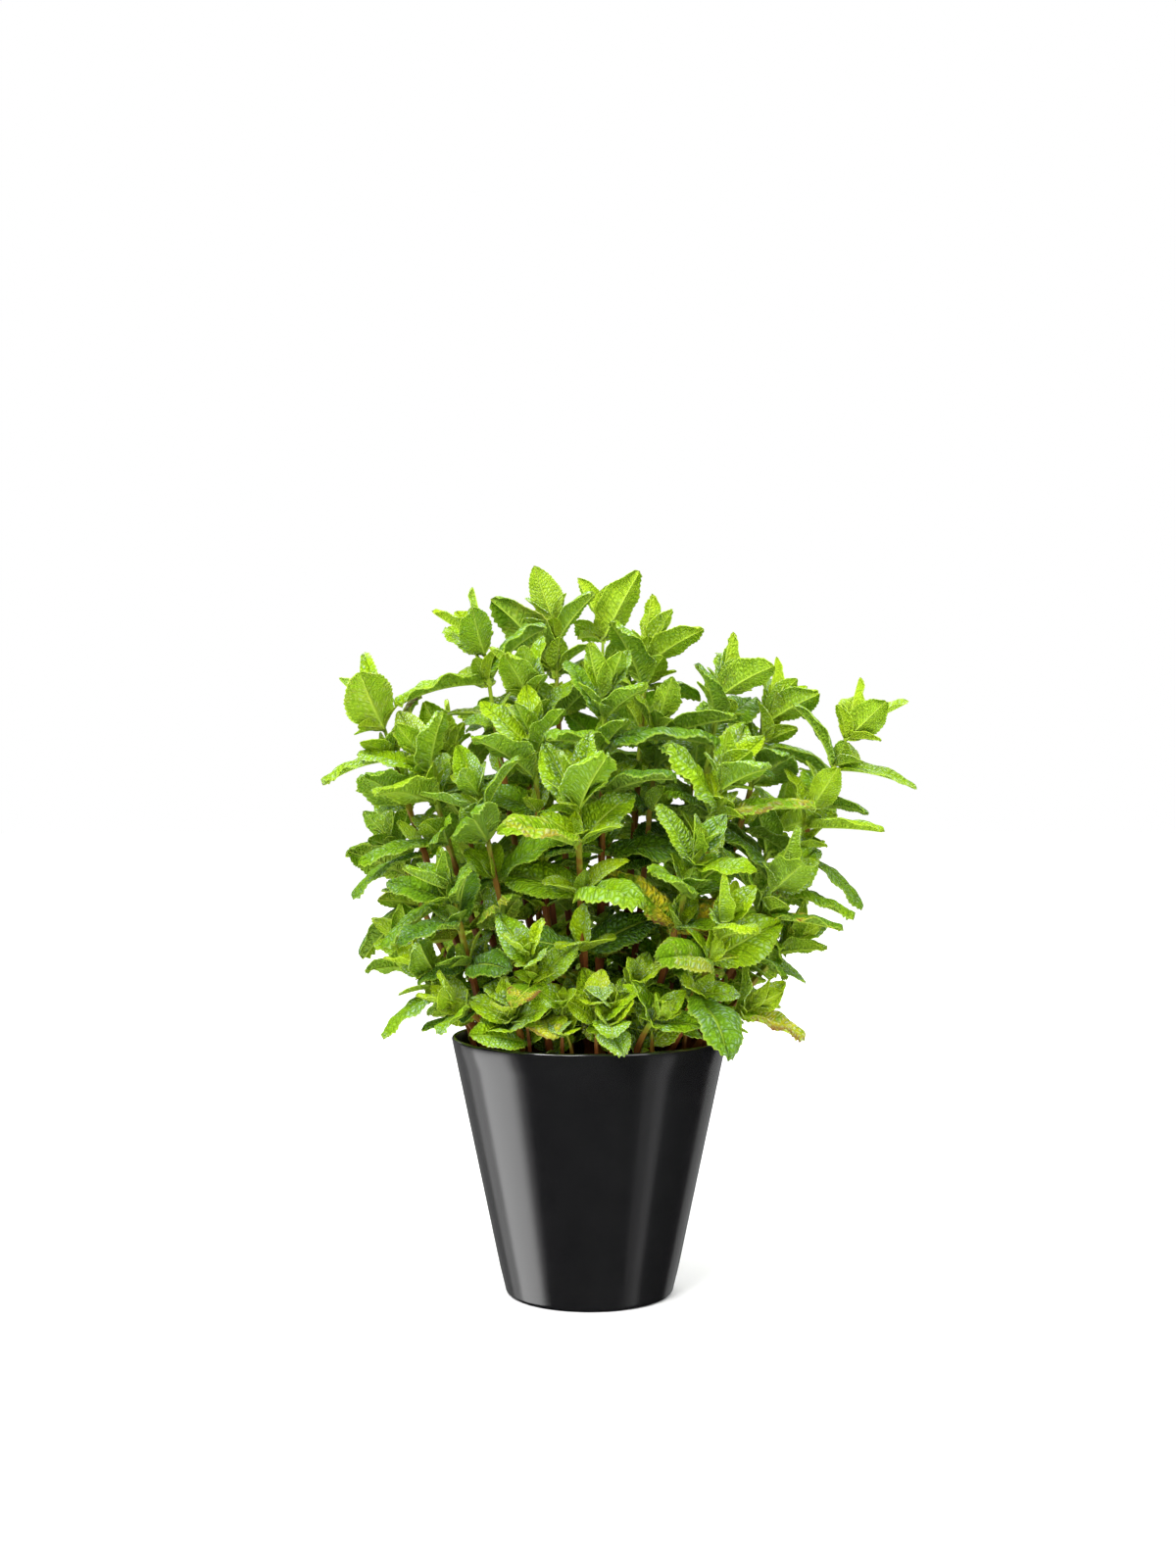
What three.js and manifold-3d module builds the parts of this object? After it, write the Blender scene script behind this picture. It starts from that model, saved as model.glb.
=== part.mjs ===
// A potted mint plant: leafy mint shoots that stand in the soil of a tapered, glossy black pot.
// Millimetres, +Z up. The origin is the middle of the pot's flat base, and the front of the plant faces -Y.
import * as THREE from "three";
import { mergeVertices } from "three/addons/utils/BufferGeometryUtils.js";
import Module from "manifold-3d";

const wasm = await Module();
wasm.setup();
const { Manifold, Mesh: SolidMesh } = wasm;

// --- Pot and soil ---
const POT_HEIGHT = 125;
const POT_RIM_RADIUS = 67.5; // outside, at the rim
const POT_BASE_RADIUS = 41; // outside, at the base
const POT_WALL = 2.4;
const POT_FLOOR = 3;
const POT_EDGE = 2.2; // rounding of the outside edge at the base
const POT_SIDES = 40;
const SOIL_TOP = 113;
const SOIL_GAP = 0.3; // between the soil and the pot
const SOIL_LUMPS = 0.9; // height of the crumbs and dips of its top
const SOIL_SIDES = 24;
const SOIL_RINGS = 3;

// --- Stems: square in section, as mint's are ---
const STEM_ROOT_RADIUS = 2.3; // from the middle to a corner, at the soil
const STEM_TIP_RADIUS = 1.2; // the same, below the bud
const STEM_SIDES = 4;
const FOOT_DEPTH = 12; // how far a stem stands in the soil
const FOOT_RISE = 2; // straight stretch just above the soil
const TALL_SHOOT = 70; // height from which a shoot leans out from its root
const FOOT_CLEARANCE = 0.45; // round a stem in its hole
const BUD_RADIUS = 0.5; // at the very top
const STEM_STATIONS = [0, 0.4, 0.8, 1]; // where a stem bends, as shares of its length
const FIRST_LEAF_HEIGHT = 9; // lowest pair above the soil

// --- Leaves ---
const PETIOLE = 0.07; // the stalk's share of the leaf's length
const PETIOLE_HALF_WIDTH = 0.75;
const BROADEST_LOW = 0.78; // under 1 puts the broadest place of a blade nearer to its stalk
const BLUNTNESS = 0.68; // under 1 rounds a blade's base and tip
const BLADE_THICKNESS = 1.2; // at the midrib
const BLADE_GAP = 0.6; // least distance between the leaves of two shoots
const SHORTEST_EDGE = 0.03; // slivers smaller than this, where leaves join stems, are merged away
const OWN_OVERLAP = 0.4; // cubic millimetres that leaves of one shoot may share, at their stalks
const FACE_UP = 0.6; // how far the leaves turn up, to the light
const FACE_OUT = 0.85; // how far they turn to the light outside the clump
const CLUMP_RADIUS = 60; // distance from the pot's middle from which they do so in full
const SEED = 23;

// The pairs of one shoot from the top down. gap is the stem between a pair and the one above it, rise the
// leaf's angle over the horizontal at its stalk, bend how far it arches over towards its tip (or up, under
// zero), fold how far its halves are raised to a V, all in degrees, and slender its width over its length.
const PAIRS = [
  { gap: 1.5, length: 27, rise: 60, bend: -10, fold: 28, slender: 0.6 },
  { gap: 8, length: 37, rise: 50, bend: 20, fold: 22, slender: 0.58 },
  { gap: 13, length: 44, rise: 38, bend: 32, fold: 16, slender: 0.56 },
  { gap: 20, length: 46, rise: 28, bend: 34, fold: 12, slender: 0.55 },
  { gap: 24, length: 44, rise: 20, bend: 34, fold: 10, slender: 0.56 },
  { gap: 25, length: 38, rise: 14, bend: 32, fold: 9, slender: 0.6 },
];

// Corners of one half of a blade's edge, as [share of the length, share of the smooth outline's half width]:
// each tooth is a point over 1 and the notch after it.
const TWO_TEETH = [[0.2, 0.98], [0.42, 1.08], [0.49, 0.87], [0.76, 1.12], [0.83, 0.86]];
const ONE_TOOTH = [[0.24, 0.98], [0.62, 1.1], [0.74, 0.86]];
const LONG_LEAF = 32; // leaves longer than this have two teeth a side
const MIDRIB_STATIONS = [PETIOLE, 0.5];

// What a leaf tries, in turn, until it is clear of its neighbours: [turn, rise] in degrees.
const NUDGES = [
  [0, 0], [12, 0], [-12, 0], [0, 12], [0, -12], [24, 6], [-24, 6], [24, -8], [-24, -8],
  [0, 24], [36, 0], [-36, 0], [0, -24], [30, 22], [-30, 22], [48, 8], [-48, 8],
];
const SHRINKS = [1, 0.84, 0.68, 0.54];

// The shoots, chosen by hand: root on the soil (x, y), tip (x, y, z), how many pairs of leaves it carries,
// the turn of its top pair round the stem in degrees, and the size of its leaves.
const SHOOTS = [
  // The tall shoots in the middle of the clump.
  { root: [-16, 10], tip: [-53, 12, 320], pairs: 5, turn: 25, size: 1.0 },
  { root: [-6, 22], tip: [-18, 36, 331], pairs: 5, turn: 70, size: 1.08 },
  { root: [5, 14], tip: [7, 46, 332], pairs: 5, turn: 20, size: 1.0 },
  { root: [13, 24], tip: [29, 30, 318], pairs: 5, turn: 50, size: 0.98 },
  { root: [-9, -4], tip: [-29, -6, 298], pairs: 5, turn: 10, size: 0.98 },
  { root: [4, -8], tip: [7, -20, 290], pairs: 5, turn: 40, size: 1.12 },
  { root: [16, 2], tip: [34, 4, 280], pairs: 5, turn: 75, size: 1.0 },
  { root: [28, 10], tip: [66, 10, 300], pairs: 5, turn: 35, size: 0.96 },
  { root: [38, 20], tip: [92, 26, 288], pairs: 5, turn: 15, size: 1.0 },
  { root: [49, 8], tip: [129, 6, 277], pairs: 5, turn: 5, size: 1.02 },
  { root: [-42, 8], tip: [-103, 0, 284], pairs: 6, turn: 30, size: 1.06 },
  { root: [-32, -6], tip: [-80, -12, 262], pairs: 5, turn: 60, size: 0.96 },
  // The shoots in front of them.
  { root: [-24, -16], tip: [-52, -32, 243], pairs: 5, turn: 80, size: 0.96 },
  { root: [-14, -20], tip: [-27, -20, 272], pairs: 5, turn: 55, size: 0.94 },
  { root: [0, -33], tip: [-6, -48, 246], pairs: 5, turn: 42, size: 1.1 },
  { root: [27, -12], tip: [64, -26, 254], pairs: 5, turn: 20, size: 1.02 },
  { root: [21, -27], tip: [49, -46, 216], pairs: 4, turn: 65, size: 0.96 },
  { root: [34, -37], tip: [61, -58, 185], pairs: 4, turn: 30, size: 0.98 },
  { root: [-43, -31], tip: [-64, -50, 200], pairs: 4, turn: 48, size: 0.92 },
  { root: [46, -4], tip: [108, -8, 236], pairs: 5, turn: 70, size: 0.96 },
  { root: [40, -18], tip: [90, -30, 205], pairs: 4, turn: 10, size: 0.98 },
  { root: [48, -16], tip: [97, -8, 172], pairs: 3, turn: 40, size: 0.8 },
  // The young, short shoots round the front of the rim.
  { root: [-17, -43], tip: [-27, -66, 170], pairs: 3, turn: 15, size: 0.72 },
  { root: [-29, -44], tip: [-36, -58, 142], pairs: 2, turn: 60, size: 0.7 },
  { root: [5, -47], tip: [8, -60, 138], pairs: 2, turn: 30, size: 0.72 },
  { root: [20, -45], tip: [31, -58, 141], pairs: 2, turn: 75, size: 0.7 },
  { root: [11, -38], tip: [21, -54, 156], pairs: 3, turn: 5, size: 0.66 },
  { root: [46, -27], tip: [76, -37, 143], pairs: 3, turn: 80, size: 0.82 },
  { root: [-47, -16], tip: [-78, -26, 162], pairs: 3, turn: 20, size: 0.84 },
  { root: [-36, -38], tip: [-62, -50, 146], pairs: 2, turn: 5, size: 0.84 },
  // The shoots at the back, seen when the pot is turned.
  { root: [-34, 20], tip: [-72, 52, 272], pairs: 5, turn: 15, size: 1.0 },
  { root: [-20, 34], tip: [-34, 82, 286], pairs: 5, turn: 60, size: 1.0 },
  { root: [4, 38], tip: [14, 90, 280], pairs: 5, turn: 35, size: 1.0 },
  { root: [26, 32], tip: [58, 72, 270], pairs: 5, turn: 80, size: 1.0 },
  { root: [44, 26], tip: [100, 58, 232], pairs: 5, turn: 45, size: 0.98 },
  { root: [-46, 24], tip: [-102, 54, 220], pairs: 4, turn: 70, size: 0.96 },
  { root: [-33, 40], tip: [-64, 96, 206], pairs: 4, turn: 25, size: 0.94 },
  { root: [-8, 48], tip: [-12, 110, 200], pairs: 4, turn: 10, size: 0.92 },
  { root: [18, 45], tip: [44, 100, 190], pairs: 4, turn: 55, size: 0.92 },
  { root: [35, 38], tip: [80, 80, 172], pairs: 3, turn: 20, size: 0.84 },
  { root: [-50, 8], tip: [-90, 22, 168], pairs: 3, turn: 50, size: 0.8 },
  { root: [-20, 46], tip: [-32, 80, 150], pairs: 2, turn: 40, size: 0.72 },
];

const radians = THREE.MathUtils.degToRad;
const UP = new THREE.Vector3(0, 0, 1);

/** A random number generator from 0 to 1 that gives the same draws for the same seed. */
function seededRandom(seed) {
  let state = seed;
  const draw = () => {
    state = (state * 1664525 + 1013904223) % 4294967296;
    return state / 4294967296;
  };
  for (let i = 0; i < 5; i++) draw();
  return draw;
}

/** A manifold solid from a closed three.js geometry. */
function toSolid(geometry) {
  const bare = geometry.clone();
  bare.deleteAttribute("normal");
  bare.deleteAttribute("uv");
  const merged = mergeVertices(bare, 1e-4);
  return new Manifold(new SolidMesh({
    numProp: 3,
    vertProperties: new Float32Array(merged.attributes.position.array),
    triVerts: new Uint32Array(merged.index.array),
  }));
}

/** A three.js geometry from a manifold solid. */
function toGeometry(solid) {
  const { numProp, numVert, vertProperties, triVerts } = solid.getMesh();
  const positions = new Float32Array(numVert * 3);
  for (let i = 0; i < numVert; i++) {
    positions.set(vertProperties.subarray(i * numProp, i * numProp + 3), i * 3);
  }
  const geometry = new THREE.BufferGeometry();
  geometry.setAttribute("position", new THREE.BufferAttribute(positions, 3));
  geometry.setIndex(new THREE.BufferAttribute(new Uint32Array(triVerts), 1));
  geometry.computeVertexNormals();
  return geometry;
}

/** A geometry from a list of points and a list of triangles of their indices. */
function indexedGeometry(points, triangles) {
  const geometry = new THREE.BufferGeometry().setFromPoints(points);
  geometry.setIndex(triangles);
  return geometry;
}

/** A body of revolution about +Z from a profile of [radius, height] that runs from the axis to the axis. */
function turned(profile, sides) {
  const points = profile.map(([radius, height]) => new THREE.Vector2(radius, height));
  return new THREE.LatheGeometry(points, sides).rotateX(Math.PI / 2);
}

/** The pot's outside radius at a height. */
function potRadius(height) {
  return THREE.MathUtils.lerp(POT_BASE_RADIUS, POT_RIM_RADIUS, height / POT_HEIGHT);
}

/** The pot: a tapered shell with a flat base, a rounded lower edge and a thin rounded rim. */
function potGeometry() {
  const lip = POT_WALL / 2;
  return turned([
    [0, 0],
    [POT_BASE_RADIUS - POT_EDGE, 0],
    [potRadius(0) - POT_EDGE * 0.25, POT_EDGE * 0.35],
    [potRadius(POT_EDGE), POT_EDGE],
    [potRadius(POT_HEIGHT - lip), POT_HEIGHT - lip],
    [POT_RIM_RADIUS - lip, POT_HEIGHT],
    [potRadius(POT_HEIGHT - lip) - POT_WALL, POT_HEIGHT - lip],
    [potRadius(POT_FLOOR) - POT_WALL, POT_FLOOR],
    [0, POT_FLOOR],
  ], POT_SIDES);
}

/** Height of the soil's uneven top over its mean, at a place on it. */
function soilLump(x, y) {
  const short = Math.sin(x * 0.31 + 1.3) * Math.cos(y * 0.27);
  const long = Math.sin(x * 0.13 - y * 0.19);
  return SOIL_LUMPS * (short + 0.5 * long);
}

/** The soil that fills the pot, with a plain hole for the foot of each stem. */
function soilGeometry() {
  const low = POT_FLOOR + SOIL_GAP;
  const outside = (height) => potRadius(height) - POT_WALL - SOIL_GAP - 0.2;
  const top = [];
  for (let ring = SOIL_RINGS; ring >= 0; ring--) {
    top.push([outside(SOIL_TOP) * ring / SOIL_RINGS, SOIL_TOP]);
  }
  const body = turned([[0, low], [outside(low), low], ...top], SOIL_SIDES);
  const place = body.attributes.position;
  for (let i = 0; i < place.count; i++) {
    if (place.getZ(i) > SOIL_TOP - 1) {
      place.setZ(i, SOIL_TOP + soilLump(place.getX(i), place.getY(i)));
    }
  }
  const holes = SHOOTS.map(({ root, turn }) => {
    const bottom = SOIL_TOP - FOOT_DEPTH - FOOT_CLEARANCE;
    const centre = new THREE.Vector3(root[0], root[1], bottom);
    const mouth = centre.clone().setZ(SOIL_TOP + FOOT_RISE);
    const radius = STEM_ROOT_RADIUS + FOOT_CLEARANCE * Math.SQRT2;
    return toSolid(squareTube([centre, mouth], [radius, radius], turn));
  });
  return toGeometry(toSolid(body).subtract(Manifold.union(holes)));
}

/** A closed tube of square section through points, with a radius to its corners at each of them. */
function squareTube(path, radii, turn) {
  const points = [];
  const triangles = [];
  path.forEach((centre, i) => {
    const ahead = path[Math.min(i + 1, path.length - 1)];
    const behind = path[Math.max(i - 1, 0)];
    const tangent = ahead.clone().sub(behind).normalize();
    for (let side = 0; side < STEM_SIDES; side++) {
      const out = outward(turn + 45 + side * 360 / STEM_SIDES, tangent);
      points.push(centre.clone().addScaledVector(out, radii[i]));
    }
  });
  for (let i = 0; i + 1 < path.length; i++) {
    for (let side = 0; side < STEM_SIDES; side++) {
      const a = i * STEM_SIDES + side;
      const b = i * STEM_SIDES + (side + 1) % STEM_SIDES;
      triangles.push(a, b, b + STEM_SIDES, a, b + STEM_SIDES, a + STEM_SIDES);
    }
  }
  const last = points.length - STEM_SIDES;
  triangles.push(0, 2, 1, 0, 3, 2, last, last + 1, last + 2, last, last + 2, last + 3);
  return indexedGeometry(points, triangles);
}

/** The direction square to an axis whose compass bearing about +Z is turn, in degrees from +X. */
function outward(turn, axis) {
  const bearing = new THREE.Vector3(Math.cos(radians(turn)), Math.sin(radians(turn)), 0);
  return bearing.addScaledVector(axis, -bearing.dot(axis)).normalize();
}

/** The curve of a shoot's stem: a tall one leans out and turns up, a short one rises and leans out. */
function stemCurve({ root, tip }) {
  const foot = new THREE.Vector3(root[0], root[1], SOIL_TOP + FOOT_RISE);
  const top = new THREE.Vector3(...tip);
  const tall = THREE.MathUtils.clamp((top.z - foot.z) / TALL_SHOOT, 0, 1);
  const out = THREE.MathUtils.lerp(0.12, 0.58, tall);
  const up = THREE.MathUtils.lerp(0.8, 0.46, tall);
  const knee = new THREE.Vector3(
    foot.x + out * (top.x - foot.x),
    foot.y + out * (top.y - foot.y),
    foot.z + up * (top.z - foot.z),
  );
  return new THREE.QuadraticBezierCurve3(foot, knee, top);
}

/** The direction round which the leaves of a joint spread: up, with the stem, and to the light outside. */
function leafAxis(joint, tangent) {
  const outside = new THREE.Vector3(joint.x, joint.y, 0).divideScalar(CLUMP_RADIUS).clampLength(0, 1);
  return tangent.clone().addScaledVector(UP, FACE_UP).addScaledVector(outside, FACE_OUT).normalize();
}

/** A shoot's stem curve and the leaves that grow on it, before they are nudged clear. */
function growShoot(shoot, index) {
  const random = seededRandom(SEED + index);
  const vary = (amount) => (random() * 2 - 1) * amount;
  const curve = stemCurve(shoot);
  const height = curve.v0.distanceTo(curve.v2);
  const leaves = [];
  let down = 0;
  for (let rank = 0; rank < shoot.pairs; rank++) {
    const pair = PAIRS[Math.min(rank, PAIRS.length - 1)];
    down += pair.gap * shoot.size * (1 + vary(0.12));
    const share = 1 - down / height;
    const joint = curve.getPoint(share);
    const axis = leafAxis(joint, curve.getTangent(share));
    const pairTurn = shoot.turn + 90 * rank + vary(14);
    const draws = [0, 1].map(() => ({
      length: 1 + vary(0.18), turn: vary(10), rise: vary(10), bend: vary(0.4), fold: vary(6), twist: vary(28),
    }));
    if (joint.z < SOIL_TOP + FIRST_LEAF_HEIGHT) break;
    draws.forEach((draw, side) => leaves.push({
      rank,
      base: joint,
      axis,
      turn: pairTurn + 180 * side + draw.turn,
      length: pair.length * shoot.size * draw.length,
      slender: pair.slender,
      rise: pair.rise + draw.rise,
      bend: pair.bend * (1 + draw.bend),
      fold: pair.fold + draw.fold,
      twist: draw.twist,
    }));
  }
  return { shoot, curve, leaves };
}

/** A leaf as it tries to grow: turned, raised and shrunk by one of the nudges. */
function nudged(leaf, attempt) {
  const [turn, rise] = NUDGES[attempt % NUDGES.length];
  const shrink = SHRINKS[Math.floor(attempt / NUDGES.length)];
  return { ...leaf, turn: leaf.turn + turn, rise: leaf.rise + rise, length: leaf.length * shrink };
}

/** Half the width of a leaf's smooth outline at a share of its length. */
function halfWidth(leaf, along) {
  const share = THREE.MathUtils.clamp((along - PETIOLE) / (1 - PETIOLE), 0, 1);
  return PETIOLE_HALF_WIDTH * (1 - share)
    + leaf.length * leaf.slender / 2 * Math.sin(Math.PI * share ** BROADEST_LOW) ** BLUNTNESS;
}

/** A function that gives the point of a leaf at a share of its length, a distance across and a lift. */
function leafSurface(leaf) {
  const out = outward(leaf.turn, leaf.axis);
  const across = new THREE.Vector3().crossVectors(leaf.axis, out);
  const rise = radians(leaf.rise);
  const bend = radians(leaf.bend);
  return (along, aside, lift) => {
    const slope = rise - bend * along;
    const reach = leaf.length * (Math.sin(rise) - Math.sin(slope)) / bend;
    const climb = leaf.length * (Math.cos(slope) - Math.cos(rise)) / bend;
    const normal = leaf.axis.clone().multiplyScalar(Math.cos(slope)).addScaledVector(out, -Math.sin(slope));
    const roll = radians(leaf.twist) * along;
    const wide = across.clone().multiplyScalar(Math.cos(roll)).addScaledVector(normal, Math.sin(roll));
    const high = normal.multiplyScalar(Math.cos(roll)).addScaledVector(across, -Math.sin(roll));
    const fold = radians(leaf.fold);
    return leaf.base.clone()
      .addScaledVector(out, reach)
      .addScaledVector(leaf.axis, climb)
      .addScaledVector(wide, aside * Math.cos(fold))
      .addScaledVector(high, Math.abs(aside) * Math.sin(fold) + lift);
  };
}

/** The blade of a leaf: toothed edges that both faces share, and a midrib that is raised on both. */
function leafGeometry(leaf) {
  const surface = leafSurface(leaf);
  const corners = leaf.length > LONG_LEAF ? TWO_TEETH : ONE_TOOTH;
  const points = [surface(-0.02, 0, 0), surface(1, 0, 0)];
  const [root, tip] = [0, 1];
  const ribs = MIDRIB_STATIONS.map((along) => {
    points.push(surface(along, 0, BLADE_THICKNESS / 2), surface(along, 0, -BLADE_THICKNESS / 2));
    return { along, top: points.length - 2, bottom: points.length - 1 };
  });
  const triangles = [];
  for (const hand of [1, -1]) {
    const edge = [{ along: 0, index: root }];
    for (const [along, share] of [[PETIOLE, 1], ...corners]) {
      points.push(surface(along, hand * share * halfWidth(leaf, along), 0));
      edge.push({ along, index: points.length - 1 });
    }
    edge.push({ along: 1, index: tip });
    for (const face of ["top", "bottom"]) {
      const turnRound = (face === "top") === (hand > 0);
      const add = (a, b, c) => triangles.push(...(turnRound ? [a, c, b] : [a, b, c]));
      let rib = ribs[0];
      for (let i = 0; i + 1 < edge.length; i++) {
        const middle = (edge[i].along + edge[i + 1].along) / 2;
        const next = middle > (ribs[0].along + ribs[1].along) / 2 ? ribs[1] : ribs[0];
        if (next !== rib) add(edge[i].index, next[face], rib[face]);
        rib = next;
        add(edge[i].index, edge[i + 1].index, rib[face]);
      }
    }
  }
  return indexedGeometry(points, triangles);
}

/** The stem of a grown shoot, from its foot in the soil to the bud at its top. */
function stemGeometry({ shoot, curve }) {
  const foot = curve.v0.clone().setZ(SOIL_TOP - FOOT_DEPTH);
  const path = [foot, ...STEM_STATIONS.map((share) => curve.getPoint(share))];
  const radii = STEM_STATIONS.map((share) => THREE.MathUtils.lerp(STEM_ROOT_RADIUS, STEM_TIP_RADIUS, share));
  radii[radii.length - 1] = BUD_RADIUS;
  return squareTube(path, [STEM_ROOT_RADIUS, ...radii], shoot.turn);
}

/** A piece in place, with the box round it. */
function placed(geometry, owner) {
  geometry.computeBoundingBox();
  return { solid: toSolid(geometry), box: geometry.boundingBox.clone(), owner };
}

/** Whether a leaf stays clear of everything in place: it touches only the stem that it grows from. */
function isClear(leaf, pieces) {
  const near = leaf.box.clone().expandByScalar(BLADE_GAP);
  return pieces.every((piece) => {
    if (!near.intersectsBox(piece.box)) return true;
    if (piece.owner !== leaf.owner) return leaf.solid.minGap(piece.solid, BLADE_GAP) >= BLADE_GAP;
    return leaf.solid.intersect(piece.solid).volume() < OWN_OVERLAP;
  });
}

/** The solids of all shoots: stems first, then the leaves, pair by pair from the tops down. */
function growPlant(pot, soil) {
  const shoots = SHOOTS.map(growShoot);
  const stems = shoots.map((grown, owner) => placed(stemGeometry(grown), owner));
  const pieces = [placed(pot, -1), placed(soil, -2), ...stems.map((stem) => ({ ...stem }))];
  const solids = stems.map((stem) => [stem.solid]);
  const attempts = NUDGES.length * SHRINKS.length;
  for (let rank = 0; rank < PAIRS.length; rank++) {
    shoots.forEach(({ leaves }, owner) => {
      for (const leaf of leaves.filter((each) => each.rank === rank)) {
        for (let attempt = 0; attempt < attempts; attempt++) {
          const piece = placed(leafGeometry(nudged(leaf, attempt)), owner);
          if (!isClear(piece, pieces)) continue;
          pieces.push(piece);
          solids[owner].push(piece.solid);
          break;
        }
      }
    });
  }
  return solids.map((parts) => toGeometry(Manifold.union(parts).asOriginal().simplify(SHORTEST_EDGE)));
}

const glossyBlack = new THREE.MeshStandardMaterial({ color: 0x17181a, roughness: 0.22, metalness: 0 });
const darkSoil = new THREE.MeshStandardMaterial({ color: 0x2b1d13, roughness: 0.95, metalness: 0 });
const mintGreen = new THREE.MeshStandardMaterial({ color: 0x5c9a1e, roughness: 0.6, metalness: 0 });

/** A named mesh. */
function named(name, geometry, material) {
  const mesh = new THREE.Mesh(geometry, material);
  mesh.name = name;
  return mesh;
}

const pottedMint = new THREE.Group();
const pot = potGeometry();
const soil = soilGeometry();
pottedMint.add(named("pot", pot, glossyBlack), named("soil", soil, darkSoil));
growPlant(pot, soil).forEach((geometry, index) => {
  const number = String(index + 1).padStart(2, "0");
  pottedMint.add(named(`leafy_stem_${number}`, geometry, mintGreen));
});

export default pottedMint;
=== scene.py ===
"""A potted mint plant, dressed: a gloss black pot of soil with leafy mint stems.

The shoots grow by the same rule and the same random draws as the solids, in millimetres, and each full leaf takes
the place that its solid has. Everything that is put in the scene is in metres, in the row frame.
"""

import logging  # noqa: E402
import math  # noqa: E402
from collections.abc import Callable, Iterable  # noqa: E402
from dataclasses import dataclass, field, replace  # noqa: E402
from enum import Enum  # noqa: E402
from typing import NamedTuple  # noqa: E402

import bmesh  # noqa: E402
import bpy  # noqa: E402
import numpy as np  # noqa: E402
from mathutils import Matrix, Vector, kdtree  # noqa: E402


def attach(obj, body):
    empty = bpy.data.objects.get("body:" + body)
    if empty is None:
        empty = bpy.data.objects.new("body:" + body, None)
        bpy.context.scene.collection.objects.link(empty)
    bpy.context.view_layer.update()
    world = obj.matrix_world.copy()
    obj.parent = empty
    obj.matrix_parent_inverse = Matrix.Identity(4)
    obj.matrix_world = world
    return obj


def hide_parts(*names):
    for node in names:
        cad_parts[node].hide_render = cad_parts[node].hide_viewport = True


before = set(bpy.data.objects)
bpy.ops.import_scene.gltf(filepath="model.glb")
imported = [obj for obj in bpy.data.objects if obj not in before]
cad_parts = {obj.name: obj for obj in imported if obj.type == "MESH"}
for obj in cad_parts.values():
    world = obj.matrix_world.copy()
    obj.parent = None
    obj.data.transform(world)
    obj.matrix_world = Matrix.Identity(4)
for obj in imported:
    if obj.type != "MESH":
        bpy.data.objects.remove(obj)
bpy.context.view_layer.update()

log = logging.getLogger("potted_mint")

Triple = tuple[float, float, float]
Thing = bpy.types.Object

MM = 0.001
BODY = "root"
UP = np.array([0.0, 0.0, 1.0])
TONE = "tone"  # the attribute that holds a leaf's age, tint and yellowing
VEINS = "veins"  # the UV map that follows a leaf's veins and a stem's sides
UNDERSIDE = 4.0  # how far the map is shifted on a leaf's underside

# Sizes and draws that the solids share, in millimetres and degrees

POT_HEIGHT = 125.0
POT_RIM_RADIUS = 67.5
POT_BASE_RADIUS = 41.0
POT_WALL = 2.4
POT_FLOOR = 3.0
SOIL_TOP = 113.0
FOOT_DEPTH = 12.0
FOOT_RISE = 2.0
TALL_SHOOT = 70.0
KNEE_OUT = (0.12, 0.58)  # how far out a stem bends, as a share of its way, for a short shoot and a tall one
KNEE_UP = (0.8, 0.46)  # and how far up
STEM_ROOT_RADIUS = 2.3
STEM_TIP_RADIUS = 1.2
NECK = 0.8  # the share of a stem past which it narrows faster
FIRST_LEAF_HEIGHT = 9.0
PETIOLE = 0.07
BROADEST_LOW = 0.78
BLUNTNESS = 0.68
FACE_UP = 0.6
FACE_OUT = 0.85
CLUMP_RADIUS = 60.0
SEED = 23
GAP_DRAW = 0.12
PAIR_DRAW = 14
LEAF_DRAWS = (0.18, 10, 10, 0.4, 6, 28)  # of length, turn, rise, bend, fold and twist

# Sizes, in millimetres, and seeds that only the scene has

POINT_RADIUS = 0.55  # of a stem, at its very top
MATCH_DISTANCE = 0.06  # between a leaf's point and the corner of its solid
FAR_OUT = 150.0  # no small leaf low on a stem reaches further from the pot's middle
LEAST_HALF = 0.06  # the least half width of a blade's outline, as a share of its widest
MASTER_SLENDER = 0.52  # the width of a pattern over its length
LOOKS_DOWN = -0.3  # faces of a pattern whose normal's z is less than this are its underside
SHOOT_SEED = 900
SPROUT_SEED = 4100
CRUMB_SEED = 77


@dataclass(frozen=True)
class Pair:
    """One pair of leaves of a shoot: its distance below the pair above, and the form of its leaves in degrees."""

    gap: float
    length: float
    rise: float
    bend: float
    fold: float
    slender: float


PAIRS = (
    Pair(1.5, 27, 60, -10, 28, 0.60),
    Pair(8, 37, 50, 20, 22, 0.58),
    Pair(13, 44, 38, 32, 16, 0.56),
    Pair(20, 46, 28, 34, 12, 0.55),
    Pair(24, 44, 20, 34, 10, 0.56),
    Pair(25, 38, 14, 32, 9, 0.60),
)

NUDGES = (
    (0, 0), (12, 0), (-12, 0), (0, 12), (0, -12), (24, 6), (-24, 6), (24, -8), (-24, -8),
    (0, 24), (36, 0), (-36, 0), (0, -24), (30, 22), (-30, 22), (48, 8), (-48, 8),
)
SHRINKS = (1, 0.84, 0.68, 0.54)


@dataclass(frozen=True)
class Plan:
    """Where a shoot stands and ends, how many full pairs it has, their turn in degrees, and its leaves' size.

    shade runs from 0, the fresh yellow green of most shoots, to 1, the deep green of a few.
    """

    root: tuple[float, float]
    tip: Triple
    pairs: int
    turn: float
    size: float
    shade: float = 0.0


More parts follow.
